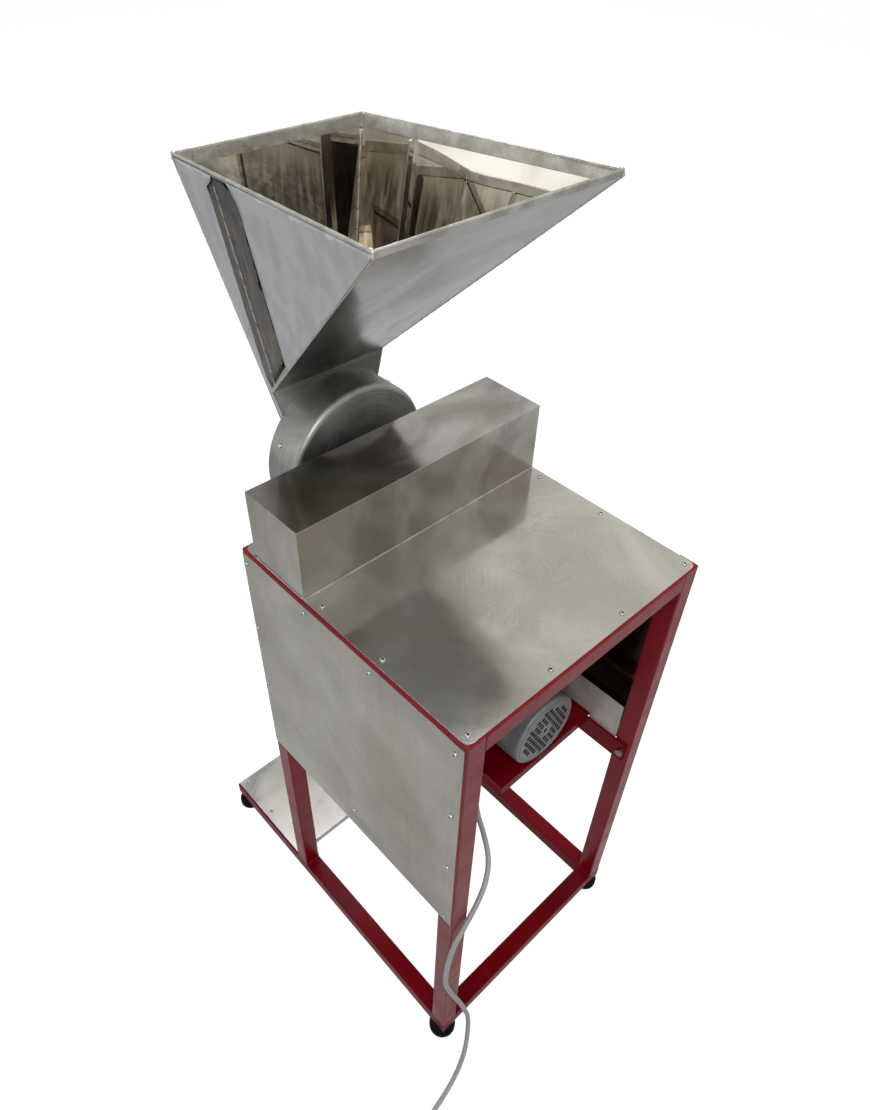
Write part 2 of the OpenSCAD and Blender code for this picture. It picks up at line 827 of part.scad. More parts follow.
// Mill shaft from behind the back bearing to the rotor
shaft_back_y = cover_back_y - sheet - 2;
rotor_back = 26;
rotor_y = drum_y - rotor_back;
shoulder_in = rotor_t - 3;
shaft_front_y = rotor_y - rotor_t - 8;
thread_r = shaft_r - 3.5;
module mill_shaft() {
    color(zinc)
        axial(mill_x, shaft_back_y, mill_z) {
            cylinder(r = shaft_r, h = shaft_back_y - rotor_y + shoulder_in);
            cylinder(r = thread_r, h = shaft_back_y - shaft_front_y);
            translate([0, 0, shaft_back_y - rotor_y + rotor_t]) cylinder(r = 12, h = 7, $fn = 6);
        }
}

// Pillow-block bearings on the top plate
bearing_w = 32;
bearing_base = 130;
bearing_foot = 13;
bearing_head_r = 31;
bearing_span = 96;
bearing_bolt_r = 5;
bearing_clear = 5;
back_bearing_y = cover_back_y - bearing_clear - bearing_w / 2;
front_bearing_y = cover_front_y + bearing_clear - 2 + bearing_w / 2;

module at_bearing_bolts() {
    for (y = [back_bearing_y, front_bearing_y])
        for (sx = [-1, 1])
            translate([mill_x + sx * bearing_span / 2, y]) children();
}

module bearing(y) {
    foot_y = y - bearing_w / 2;
    color("steelblue")
        difference() {
            union() {
                axial(mill_x, y + bearing_w / 2, mill_z) cylinder(r = bearing_head_r, h = bearing_w);
                axial(mill_x, y + bearing_w / 2 - 1, mill_z) linear_extrude(bearing_w - 2) polygon([
                    [-bearing_head_r + 1, 0], [bearing_head_r - 1, 0],
                    [bearing_head_r + 4, 1 - mill_rise], [-bearing_head_r - 4, 1 - mill_rise]
                ]);
                translate([mill_x - bearing_base / 2, foot_y, plate_top]) cube([bearing_base, bearing_w, bearing_foot]);
            }
            axial(mill_x, y + bearing_w, mill_z) cylinder(r = shaft_r + run_gap, h = 2 * bearing_w);
            for (sx = [-1, 1])
                translate([mill_x + sx * bearing_span / 2, y, plate_top - 1])
                    cylinder(r = bearing_bolt_r, h = bearing_foot + 2, $fn = 24);
        }
}

module bearing_back() bearing(back_bearing_y);
module bearing_front() bearing(front_bearing_y);

module bearing_bolts() {
    color(zinc)
        at_bearing_bolts() {
            translate([0, 0, plate_top + bearing_foot]) hex_bolt(bearing_bolt_r, bearing_foot + sheet + 10, 6);
            translate([0, 0, frame_top - 8]) cylinder(r = bearing_bolt_r * 1.9, h = 8, $fn = 6);
        }
}

// Mill drum: a pressed pan with its bottom against the frame
outlet_half = 40;
outlet_back = 12;
outlet_l = 36;
seat_bolt_r = 4;
seat_bolt_x = 50;
seat_bolt_l = 22;
seat_bolt_drop = tube / 2 + sheet + mill_rise;
drum_in_r = drum_r - drum_wall;

module at_seat_bolts() {
    for (sx = [-1, 1]) translate([mill_x + sx * seat_bolt_x, 0, mill_z - seat_bolt_drop]) children();
}

module mill_drum() {
    color("gray")
        difference() {
            axial(mill_x, drum_y, mill_z) difference() {
                rotate_extrude($fn = 128) cup_profile(drum_r, drum_depth, drum_edge_r);
                translate([0, 0, drum_wall]) cylinder(r = drum_in_r - drum_edge_r + drum_wall, h = drum_depth);
                translate([0, 0, drum_edge_r]) cylinder(r = drum_in_r, h = drum_depth, $fn = 128);
                translate([0, 0, -1]) cylinder(r = shaft_r + 1, h = drum_wall + 2);
                at_drum_screws() cylinder(r = screw_r + 0.2, h = 2 * drum_wall + 2, center = true, $fn = 16);
            }
            at_seat_bolts() translate([0, drum_y + 1, 0]) rotate([90, 0, 0])
                cylinder(r = seat_bolt_r, h = drum_wall + 2, $fn = 24);
            translate([mill_x - outlet_half, drum_y - outlet_back - outlet_l, mill_z - drum_r - 5])
                cube([2 * outlet_half, outlet_l, drum_r * 0.35]);
        }
}

// Radial screws near the drum's front edge, local Z pointing outwards
drum_screw_from_front = 16;
drum_screw_angles = [26, 138, 206, 318];
module at_drum_screws() {
    for (a = drum_screw_angles)
        rotate([0, 0, a])
            translate([drum_r, 0, drum_depth - drum_screw_from_front])
                rotate([0, 90, 0]) children();
}

module drum_screws() {
    color(zinc) {
        axial(mill_x, drum_y, mill_z) at_drum_screws() {
            pan_head();
            translate([0, 0, -drum_wall - ring_t]) cylinder(r = screw_r - run_gap, h = drum_wall + ring_t + 1, $fn = 16);
        }
        at_seat_bolts() translate([0, drum_y - drum_wall, 0]) rotate([90, 0, 0]) {
            cylinder(r = seat_bolt_r * 1.9, h = 5, $fn = 6);
            translate([0, 0, -drum_wall - seat_bolt_l + 2])
                cylinder(r = seat_bolt_r - run_gap, h = drum_wall + seat_bolt_l - 1, $fn = 24);
        }
    }
}

// Front cover plate with a ring inside the drum and the feed hole
ring_t = 3;
ring_l = 26;
inlet_half = 34;
inlet_low = 30;
inlet_high = 62;
cover_y = drum_y - drum_depth;
module mill_front_cover() {
    color("gray")
        difference() {
            axial(mill_x, cover_y, mill_z) {
                cylinder(r = drum_r, h = front_plate, $fn = 128);
                translate([0, 0, -ring_l]) difference() {
                    cylinder(r = drum_in_r - 0.05, h = ring_l + eps, $fn = 128);
                    translate([0, 0, -1]) cylinder(r = drum_in_r - ring_t, h = ring_l + 1, $fn = 128);
                }
            }
            axial(mill_x, drum_y, mill_z) at_drum_screws()
                translate([0, 0, -drum_wall - ring_t - 1]) cylinder(r = screw_r, h = ring_t + 2, $fn = 16);
            translate([mill_x - inlet_half, cover_y - front_plate - 1, mill_z - inlet_low])
                cube([2 * inlet_half, front_plate + 2, inlet_low + inlet_high]);
            translate([mill_x - outlet_half, drum_y - outlet_back - outlet_l, mill_z - drum_r - 5])
                cube([2 * outlet_half, outlet_l, drum_r * 0.35]);
        }
}

// Sieve: a ring of perforated sheet that keeps the sugar at the hammers
sieve_t = 1.5;
sieve_r = drum_in_r - ring_t - seat_gap;
sieve_back = 12;
sieve_l = 32;
sieve_hole_r = 2;
sieve_step = 8;
module sieve_ring() {
    color(steel)
        axial(mill_x, drum_y - sieve_back, mill_z) difference() {
            cylinder(r = sieve_r, h = sieve_l, $fn = 128);
            translate([0, 0, -1]) cylinder(r = sieve_r - sieve_t, h = sieve_l + 2, $fn = 128);
            for (a = [246 : sieve_step : 294], k = [0 : 2])
                rotate([0, 0, a]) translate([sieve_r, 0, 8 + 8 * k])
                    rotate([0, 90, 0]) cylinder(r = sieve_hole_r, h = 10, center = true, $fn = 14);
        }
}

// Chute under the drum, over the bucket on the deck
spout_wall = 2;
spout_l = 90;
spout_top = mill_z - drum_r * 0.9;
module outlet_spout() {
    w = 2 * outlet_half + 2 * spout_wall;
    d = outlet_l + 2 * spout_wall;
    y = drum_y - outlet_back - outlet_l - spout_wall;
    color(steel)
        difference() {
            translate([mill_x - w / 2, y, spout_top - spout_l]) cube([w, d, spout_l]);
            translate([mill_x - outlet_half, y + spout_wall, spout_top - spout_l - 1])
                cube([2 * outlet_half, outlet_l, spout_l + 2]);
            axial(mill_x, drum_y + 1, mill_z) cylinder(r = drum_r + 0.05, h = drum_depth + 2, $fn = 128);
        }
}

// Rotor: a disc with four swinging hammers on pins
hammer_n = 4;
hub_l = 10;
pin_l = 20;
hammer_y = rotor_y - rotor_t - 1;
module at_pins() {
    for (i = [0 : hammer_n - 1]) rotate([0, 0, 45 + i * 360 / hammer_n]) translate([pin_circle_r, 0, 0]) children();
}

module rotor_disc() {
    color(dark)
        axial(mill_x, rotor_y, mill_z) difference() {
            union() {
                cylinder(r = rotor_r, h = rotor_t);
                translate([0, 0, -hub_l]) cylinder(r = shaft_r + 8, h = hub_l + 1);
            }
            translate([0, 0, -hub_l - 1]) cylinder(r = shaft_r, h = hub_l + 1 + shoulder_in);
            translate([0, 0, -1]) cylinder(r = thread_r, h = rotor_t + 2);
            at_pins() translate([0, 0, -1]) cylinder(r = pin_r, h = rotor_t + 2, $fn = 32);
        }
}

module hammer_pins() {
    color(zinc)
        axial(mill_x, rotor_y, mill_z) at_pins() {
            cylinder(r = pin_r, h = rotor_t + 1 + hammer_t + 2, $fn = 32);
            translate([0, 0, rotor_t + 1 + hammer_t + 1]) cylinder(r = pin_r + 2.5, h = 2.5, $fn = 32);
        }
}

module hammer(i) {
    color(zinc)
        axial(mill_x, hammer_y, mill_z)
            rotate([0, 0, 45 + i * 360 / hammer_n]) translate([pin_circle_r, 0, 0])
                linear_extrude(hammer_t) difference() {
                    union() {
                        circle(r = hammer_w / 2, $fn = 48);
                        translate([0, -hammer_w / 2]) square([hammer_l, hammer_w]);
                    }
                    circle(r = pin_r + run_gap, $fn = 48);
                }
}

module hammer_1() hammer(0);
module hammer_2() hammer(1);
module hammer_3() hammer(2);
module hammer_4() hammer(3);

// Hopper: outer corner points for a wall inset, half widths mirrored about the mill axis
hop_y = cover_y - front_plate;
mouth_back_y = hop_y + mouth_over;
mouth_front_y = mouth_back_y - mouth_depth;
mouth_z = mill_z + mouth_rise;
back_low_z = mouth_z + mouth_tilt - 6;
crease_z = mill_z + crease_rise;
seam_y = mouth_front_y + seam_from_front;
throat_z = mill_z - throat_drop;
seam_s = seam_from_front / mouth_depth;
cut_size = 3 * mouth_depth;
function mix(a, b, s) = a + (b - a) * s;
function front_y(z) = mouth_front_y + (mouth_z - z) * front_lean;
function front_half(z) = mouth_front - (mouth_z - z) * front_taper;
seam_low_s = (seam_y - hop_y) / (mouth_back_y - hop_y);

// Corners as [half width, y, z], each t inside the outer faces
function p_mouth_front(t) = [mouth_front - t, mouth_front_y + t, mouth_z + t];
function p_front_mid(t) = [front_half(crease_z) - t, front_y(crease_z) + t, crease_z];
function p_low_front(t) = [front_half(throat_z) - t, front_y(throat_z) + t, throat_z + t];
function p_low_back(t) = [throat_half - t, hop_y - t, throat_z + t];
function p_crease(t) = [crease_half - t, hop_y - t, crease_z + t * 0.4];
function p_seam_low(t) = [mix(crease_half, mouth_back, seam_low_s) - t, seam_y,
    mix(crease_z, back_low_z, seam_low_s) + t * 1.3];
function p_back_low(t) = [mouth_back - t, mouth_back_y - t, back_low_z + t * 0.5];
function p_mouth_back(t) = [mouth_back - t, mouth_back_y - t, mouth_z + mouth_tilt + t];
function p_seam_top(t) = [mix(mouth_front, mouth_back, seam_s) - t, seam_y,
    mix(mouth_z, mouth_z + mouth_tilt, seam_s) + t];
function side_points(t) = [
    p_mouth_front(t), p_front_mid(t), p_low_front(t), p_low_back(t), p_crease(t),
    p_seam_low(t), p_back_low(t), p_mouth_back(t), p_seam_top(t)
];
side_n = 9;
side_faces = [[0, 1, 4], [1, 2, 3], [1, 3, 4], [0, 4, 5], [0, 5, 8], [8, 5, 6], [8, 6, 7]];

// Whole hopper as one solid, every face t inside the outer one
module hopper_form(t) {
    polyhedron(
        points = concat(
            [for (p = side_points(t)) [mill_x + p[0], p[1], p[2]]],
            [for (p = side_points(t)) [mill_x - p[0], p[1], p[2]]]
        ),
        faces = concat(
            [for (f = side_faces) [f[0], f[2], f[1]]],
            [for (f = side_faces) [side_n + f[0], side_n + f[1], side_n + f[2]]],
            [for (i = [0 : side_n - 1]) [i, (i + 1) % side_n, side_n + (i + 1) % side_n]],
            [for (i = [0 : side_n - 1]) [i, side_n + (i + 1) % side_n, side_n + i]]
        )
    );
}

// Space under the hem of the mouth
module below_hem() {
    big = cut_size;
    a = atan2(mouth_tilt, mouth_depth);
    translate([mill_x, mouth_front_y, mouth_z - hem_h]) rotate([a, 0, 0])
        translate([-big / 2, -big / 2, -big]) cube([big, big, big]);
}

module hopper_shell() {
    difference() {
        hopper_form(0);
        intersection() {
            hopper_form(sheet);
            below_hem();
        }
        hopper_form(2 * sheet);
    }
}

// Folded edges of the seam: a rib inside the side walls and a low bead outside, from y to y + t
module seam_edges(y, t) {
    top = p_seam_top(sheet);
    low = p_seam_low(sheet);
    top_z = top[2] - hem_h - sheet;
    low_z = low[2] + seam_edge * 0.3;
    top_x = mix(low[0], top[0], (top_z - low[2]) / (top[2] - low[2]));
    for (side = [-1, 1])
        translate([0, y + t, 0]) rotate([90, 0, 0]) linear_extrude(t) polygon([
            [mill_x + side * (top_x + sheet + seam_bead), top_z],
            [mill_x + side * (low[0] + sheet + seam_bead), low_z],
            [mill_x + side * (low[0] - seam_edge), low_z + seam_edge * 0.7],
            [mill_x + side * (top_x - seam_edge), top_z - 2],
            [mill_x + side * (top_x - seam_edge + 3), top_z]
        ]);
}

module hopper_back() {
    color(steel) {
        intersection() {
            hopper_shell();
            translate([-cut_size / 2, seam_y, throat_z - 1]) cube([cut_size, cut_size, cut_size]);
        }
        seam_edges(seam_y, sheet);
    }
}

module hopper_front() {
    color(steel) {
        difference() {
            intersection() {
                hopper_shell();
                translate([-cut_size / 2, seam_y - cut_size, throat_z - 1]) cube([cut_size, cut_size, cut_size]);
            }
            translate([mill_x - inlet_half, hop_y - 3, mill_z - inlet_low])
                cube([2 * inlet_half, 6, inlet_low + inlet_high]);
            translate([mill_x - gate_half - 1, gate_front_y - 12, gate_z - 0.5])
                cube([2 * gate_half + 2, 24, gate_t + 1]);
        }
        seam_edges(seam_y - sheet, sheet);
    }
}

// Feed gate: a plate that slides out through the throat's front wall
gate_z = mill_z + gate_rise;
gate_front_y = front_y(gate_z);
gate_in_y = hop_y - sheet - 1.5;
gate_out = 10;
gate_gap = 0.3;
guide_w = 7;
guide_h = 9;
guide_l = 30;
// Channel for one edge of the gate, running along Y and open towards the gate
module gate_guides() {
    slot = gate_t + 2 * gate_gap;
    color(steel)
        for (side = [-1, 1])
            difference() {
                translate([mill_x + side * gate_half, gate_front_y - guide_l, gate_z + gate_t / 2])
                    rotate([-90, 0, 0]) linear_extrude(guide_l + 6) polygon([
                        [side * guide_w, -guide_h / 2], [side * guide_w, guide_h / 2],
                        [-side * 3, guide_h / 2], [-side * 3, slot / 2],
                        [side * gate_gap, slot / 2], [side * gate_gap, -slot / 2],
                        [-side * 3, -slot / 2], [-side * 3, -guide_h / 2]
                    ]);
                hopper_form(0);
            }
}

module feed_gate() {
    y0 = gate_front_y - guide_l - gate_out;
    color(steel) {
        translate([mill_x - gate_half, y0, gate_z]) cube([2 * gate_half, gate_in_y - y0, gate_t]);
        translate([mill_x - gate_half * 0.6, y0, gate_z]) cube([gate_half * 1.2, gate_t, 16]);
    }
    color("black")
        translate([mill_x, y0, gate_z + 9]) rotate([90, 0, 0]) {
            cylinder(r = 4, h = 8, $fn = 32);
            translate([0, 0, 15]) sphere(r = 10, $fn = 32);
        }
}

// Mains cord: its free stretch follows points chosen by hand
cord_sides = 8;
cord_step = 16;
floor_z = cord_r;
coil_c = [400, 462, floor_z];
coil_gap = 0.6;
coil_pitch = 2 * cord_r + coil_gap;
coil_out_r = coil_r + coil_pitch * coil_turns;
cord_route = [
    [gland_x, gland_y + 4, gland_z],
    [gland_x, gland_y + 14, gland_z],
    [gland_x, gland_y + 24, gland_z],
    [15, 155, 573], [20, 168, 571], [30, 180, 566], [45, 193, 559], [63, 208, 551],
    [82, 226, 541], [97, 248, 528], [107, 272, 511], [120, 295, 493], [140, 311, 475],
    [167, 321, 458], [194, 326, 437], [214, 327.5, 408], [225, 329, 372], [230, 330, 335],
    [229, 331, 296], [215, 332, 235], [197, 334, 170], [182, 336, 108], [175, 339, 68],
    [177, 344, 38], [186, 352, 17], [201, 362, 6], [220, 371, floor_z], [240, 378, floor_z],
    [268, 385, floor_z], [302, 391, floor_z], [345, 400, floor_z],
    [coil_c[0], coil_c[1] - coil_out_r, floor_z]
];

// Smooth curve through four neighbouring points
function spline(p, s) =
    0.5 * ((2 * p[1]) + (p[2] - p[0]) * s
        + (2 * p[0] - 5 * p[1] + 4 * p[2] - p[3]) * s * s
        + (3 * p[1] - p[0] - 3 * p[2] + p[3]) * s * s * s);
function pick(pts, i) = pts[max(0, min(len(pts) - 1, i))];
function curve(pts, n) = concat(
    [for (i = [0 : len(pts) - 2], k = [0 : n - 1])
        spline([pick(pts, i - 1), pick(pts, i), pick(pts, i + 1), pick(pts, i + 2)], k / n)],
    [pts[len(pts) - 1]]
);
function unit(v) = v / norm(v);

// Ring of points round p, square to d
function ring_at(p, d, r, n) =
    let (u = unit(cross(abs(d[2]) > 0.9 * norm(d) ? [1, 0, 0] : [0, 0, 1], d)), w = cross(unit(d), u))
    [for (k = [0 : n - 1]) p + r * (cos(360 * k / n) * u + sin(360 * k / n) * w)];
function heading(c, i) = pick(c, i + 1) - pick(c, i - 1);

// Rings carried along the curve so that the tube doesn't twist
function carry(c, i, u) =
    let (d = unit(heading(c, i)), v = u - (u * d) * d)
    unit(v);
function frames(c) = [for (i = 0, u = carry(c, 0, [0.1, 0.2, 1]); i < len(c); i = i + 1, u = carry(c, min(i, len(c) - 1), u)) u];

module swept_tube(c, r, n) {
    us = frames(c);
    m = len(c);
    pts = [for (i = [0 : m - 1], k = [0 : n - 1])
        let (d = unit(heading(c, i)), w = cross(d, us[i]))
        c[i] + r * (cos(360 * k / n) * us[i] + sin(360 * k / n) * w)];
    polyhedron(
        points = pts,
        faces = concat(
            [for (k = [1 : n - 2]) [0, k + 1, k]],
            [for (k = [1 : n - 2]) [(m - 1) * n, (m - 1) * n + k, (m - 1) * n + k + 1]],
            [for (i = [0 : m - 2], k = [0 : n - 1]) [i * n + k, i * n + (k + 1) % n, (i + 1) * n + k]],
            [for (i = [0 : m - 2], k = [0 : n - 1])
                [i * n + (k + 1) % n, (i + 1) * n + (k + 1) % n, (i + 1) * n + k]]
        )
    );
}

cord_curve = curve(cord_route, 3);
module power_cord() {
    color("lightgray") swept_tube(cord_curve, cord_r, cord_sides);
}

// Coil: loops spiral in on the floor, then back out on top, and run on to the plug
plug_r = 18;
plug_l = 34;
coil_sides = 6;
coil_rings = 24;
coil_start_a = 270;
coil_n = 2 * coil_turns;
coil_tail = 64;
function coil_radius(s) = coil_r + coil_pitch * abs(coil_turns - s);
function smooth(s) = s < 0 ? 0 : s > 1 ? 1 : s * s * (3 - 2 * s);
function coil_point(s) = coil_c + [
    coil_radius(s) * cos(coil_start_a + 360 * s),
    coil_radius(s) * sin(coil_start_a + 360 * s),
    coil_pitch * smooth((s - coil_turns + 0.25) * 2)
];
plug_rise = plug_r - floor_z;
tail_from = coil_c + [0, -coil_out_r, coil_pitch];
coil_curve = concat(
    [for (i = [0 : coil_n * coil_rings]) coil_point(i / coil_rings)],
    [for (s = [0.2, 0.4, 0.6, 0.8, 1]) tail_from + [coil_tail * s, 0, (plug_rise - coil_pitch) * smooth(s * 1.25)]]
);

// Least distance between parts of the coil that are over half a loop apart
coil_self_gap = min([
    for (i = [0 : 2 : len(coil_curve) - 1], j = [i + 14 : len(coil_curve) - 1])
        norm(coil_curve[i] - coil_curve[j])
]) - 2 * cord_r;
echo(coil_self_gap = coil_self_gap);

module cord_coil() {
    color("lightgray") swept_tube(coil_curve, cord_r, coil_sides);
}

// Plug with two round pins, lying beside the coil
plug_neck = 16;
plug_p = tail_from + [coil_tail + plug_neck, 0, plug_rise - coil_pitch];
module cord_plug() {
    color("lightgray")
        translate(plug_p) rotate([0, 90, 0]) {
            cylinder(r1 = plug_r * 0.62, r2 = plug_r, h = plug_l * 0.6);
            translate([0, 0, plug_l * 0.6]) cylinder(r = plug_r, h = plug_l * 0.4);
            translate([0, 0, -plug_neck]) cylinder(r1 = cord_r + 1, r2 = cord_r + 4, h = plug_neck + 1, $fn = 32);
        }
    color(zinc)
        translate(plug_p) rotate([0, 90, 0])
            for (s = [-1, 1]) translate([0, s * 9.5, plug_l]) cylinder(r = 2.4, h = 19, $fn = 24);
}

leg_front_left();
leg_front_right();
leg_back_left();
leg_back_right();
top_rail_front();
top_rail_back();
top_rail_left();
top_rail_right();
base_rail_front();
base_rail_back();
base_rail_left();
base_rail_right();
panel_rail_left();
motor_rail_right();
motor_cross_bars();
feet();
foot_studs();
deck_plate();
top_plate();
belt_cover();
side_panel_left();
side_panel_right();
guard_strip();
sheet_screws();
motor_plate();
motor_bolts();
motor_body();
motor_end_shield();
fan_cover();
terminal_box();
terminal_lid();
switch_rocker();
cable_gland();
motor_shaft();
motor_fan();
motor_pulley();
v_belt();
mill_pulley();
mill_shaft();
bearing_back();
bearing_front();
bearing_bolts();
mill_drum();
mill_front_cover();
drum_screws();
sieve_ring();
outlet_spout();
rotor_disc();
hammer_pins();
hammer_1();
hammer_2();
hammer_3();
hammer_4();
hopper_front();
hopper_back();
gate_guides();
feed_gate();
power_cord();
cord_coil();
cord_plug();
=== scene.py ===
import math
import random
import bpy
import bmesh
from mathutils import Matrix, Vector, noise
from mathutils.bvhtree import BVHTree


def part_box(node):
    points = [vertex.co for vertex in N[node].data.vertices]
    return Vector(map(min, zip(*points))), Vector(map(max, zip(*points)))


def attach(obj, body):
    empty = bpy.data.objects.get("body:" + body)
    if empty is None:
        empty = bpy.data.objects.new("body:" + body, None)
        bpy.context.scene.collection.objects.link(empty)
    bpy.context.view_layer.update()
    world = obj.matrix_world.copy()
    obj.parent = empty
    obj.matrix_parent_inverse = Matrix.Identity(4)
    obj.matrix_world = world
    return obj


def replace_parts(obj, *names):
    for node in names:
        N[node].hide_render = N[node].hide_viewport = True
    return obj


# Sugar grinder: camera, materials, cord, finer pieces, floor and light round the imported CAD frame.
# The hopper is at the front, -Y, and the camera looks at the open back, +Y. +X is the left side.

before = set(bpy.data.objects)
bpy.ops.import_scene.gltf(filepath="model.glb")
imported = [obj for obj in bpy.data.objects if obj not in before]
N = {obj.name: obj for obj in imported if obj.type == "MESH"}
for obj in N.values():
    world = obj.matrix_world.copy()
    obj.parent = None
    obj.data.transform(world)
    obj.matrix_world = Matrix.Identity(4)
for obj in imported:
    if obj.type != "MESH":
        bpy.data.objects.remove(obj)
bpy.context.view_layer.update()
D = bpy.data
SCENE = bpy.context.scene

# main lines of the CAD, in mm
AXIS_X, AXIS_Z = 8, 923          # the mill's axis; AXIS_X is the hopper's middle plane too
HALF_F, Y_F, Z_F = 134, -245, 1320   # mouth's front corners: half width, y, z
HALF_B, Y_B, Z_B = 166, 138, 1337    # mouth's back corners
TAPER, LEAN = 0.204, 0.1215      # how far the front corners move in and back for each mm down
CREASE_DROP = 277.5              # from the mouth's front edge down to the crease
SEAM_Y = -150                    # where the hopper's halves meet


def mm(x, y, z):
    return Vector((x, y, z)) / 1000


def box_mm(node):
    return [Vector(c) * 1000 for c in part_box(node)]


# ---------------------------------------------------------------- camera
CAMERA_AT = mm(581.7, 640.1, 1596.2)
YAW, PITCH, ROLL = (math.radians(a) for a in (44.202, 42.278, -1.820))
FOCAL_PX, PHOTO_H = 809.19, 1110
SENSOR = 36

forward = Vector((-math.sin(YAW) * math.cos(PITCH), -math.cos(YAW) * math.cos(PITCH), -math.sin(PITCH)))
side = Vector((-math.cos(YAW), math.sin(YAW), 0))
up = side.cross(forward)
right = math.cos(ROLL) * side - math.sin(ROLL) * up
down = -math.sin(ROLL) * side - math.cos(ROLL) * up
cam_data = D.cameras.new("camera")
cam_data.sensor_width = SENSOR
cam_data.lens = FOCAL_PX / PHOTO_H * SENSOR
cam_data.clip_start, cam_data.clip_end = 0.05, 60
cam = D.objects.new("camera", cam_data)
cam.matrix_world = Matrix.Translation(CAMERA_AT) @ Matrix((right, -down, -forward)).transposed().to_4x4()
SCENE.collection.objects.link(cam)
SCENE.camera = cam


# ---------------------------------------------------------------- materials
class Nodes:
    """Short ways to build a shader tree over one kind of coordinates."""

    def __init__(self, tree, coordinates):
        tree.nodes.clear()
        self.t = tree
        self.co = self.node("TexCoord").outputs[coordinates]

    def node(self, kind, **settings):
        n = self.t.nodes.new("ShaderNode" + kind)
        for key, value in settings.items():
            setattr(n, key, value)
        return n

    def put(self, socket, value):
        """Links an output to a socket, or sets the socket's own value."""
        if hasattr(value, "is_output"):
            self.t.links.new(value, socket)
        else:
            socket.default_value = value

    def split(self):
        """The coordinates' X, Y and Z."""
        n = self.node("SeparateXYZ")
        self.put(n.inputs[0], self.co)
        return n.outputs

    def scaled(self, sx, sy, sz, rot=(0, 0, 0)):
        n = self.node("Mapping")
        self.put(n.inputs["Vector"], self.co)
        n.inputs["Rotation"].default_value = rot
        n.inputs["Scale"].default_value = (sx, sy, sz)
        return n.outputs[0]

    def noise(self, scale, detail=3, rough=0.5, distort=0.0, co=None, dims="3D"):
        n = self.node("TexNoise", noise_dimensions=dims)
        self.put(n.inputs["W" if dims == "1D" else "Vector"], co or self.co)
        n.inputs["Scale"].default_value = scale
        n.inputs["Detail"].default_value = detail
        n.inputs["Roughness"].default_value = rough
        n.inputs["Distortion"].default_value = distort
        return n.outputs[0]

    def ramp(self, fac, *stops, ease="LINEAR"):
        """Stops are (place, grey) or (place, colour)."""
        n = self.node("ValToRGB")
        n.color_ramp.interpolation = ease
        points = n.color_ramp.elements
        while len(points) < len(stops):
            points.new(0.5)
        for point, (place, c) in zip(points, stops):
            point.position = place
            point.color = (c, c, c, 1) if isinstance(c, (int, float)) else (*c, 1)
        self.put(n.inputs[0], fac)
        return n.outputs[0]

    def mix(self, fac, a, b, how="MIX"):
        n = self.node("MixRGB", blend_type=how)
        for socket, v in zip(n.inputs, (fac, a, b)):
            self.put(socket, (*v, 1) if isinstance(v, tuple) else v)
        return n.outputs[0]

    def times(self, a, b):
        return self.mix(1.0, a, b, "MULTIPLY")

    def fade(self, fac, lo, hi, a, b, **how):
        """a where fac is under lo and b where it is over hi."""
        return self.mix(self.ramp(fac, (lo, 0.0), (hi, 1.0), **how), a, b)

    def math(self, how, a, b=0.0, c=0.0):
        n = self.node("Math", operation=how)
        for socket, v in zip(n.inputs, (a, b, c)):
            self.put(socket, v)
        return n.outputs[0]


class Mat(Nodes):
    """A material around one principled shader, in object coordinates."""

    def __init__(self, name, metallic=0.0):
        self.m = D.materials.new(name)
        self.m.use_nodes = True
        super().__init__(self.m.node_tree, "Object")
        self.shader = self.node("BsdfPrincipled")
        self.put(self.node("OutputMaterial").inputs[0], self.shader.outputs[0])
        self.set(Metallic=metallic)

    def set(self, **sockets):
        for key, value in sockets.items():
            self.put(self.shader.inputs[key.replace("_", " ")], value)

    def rings(self, cell, pitch, seed=0.0):
        """Arcs of a hand sander: streaks round the centres of random cells, both sizes in metres."""
        cells = self.node("TexVoronoi")
        cells.inputs["Scale"].default_value = 1 / cell
        bent = self.mix(0.09, self.scaled(1, 1, 1, (seed, seed * 2, seed * 3)), self.noise(8, 2), "ADD")
        self.put(cells.inputs["Vector"], bent)
        away = cells.outputs["Distance"]
        arcs = self.noise(cell / pitch, 2, 0.6, co=away, dims="1D")
        shown = self.times(self.ramp(away, (0.12, 0.0), (0.3, 1.0)), self.ramp(away, (0.55, 1.0), (0.7, 0.0)))
        return self.mix(shown, (0.5, 0.5, 0.5), arcs)

    def bump(self, height, strength=0.3, dist=0.0005, edge=0.0, bow=None):
        """Fine relief; edge rounds the edges in shading, and bow = (lean, wave) bends the whole sheet in shading."""
        n = self.node("Bump")
        n.inputs["Strength"].default_value = strength
        n.inputs["Distance"].default_value = dist
        self.put(n.inputs["Height"], height)
        if edge:
            bevel = self.node("Bevel")
            bevel.inputs["Radius"].default_value = edge
            self.put(n.inputs["Normal"], bevel.outputs[0])
        if bow:
            lean, wave = bow
            big = self.node("Bump")
            big.inputs["Strength"].default_value = 1
            big.inputs["Distance"].default_value = 1
            leaning = self.math("MULTIPLY", self.split()[2], -lean)
            self.put(big.inputs["Height"], self.math("MULTIPLY_ADD", self.noise(6, 1), wave, leaning))
            self.put(n.inputs["Normal"], big.outputs[0])
        self.set(Normal=n.outputs[0])
        return self.m


BROWN = (0.44, 0.38, 0.29)
BOW_Z = 1.24     # height in metres below which a bowed sheet is streaked


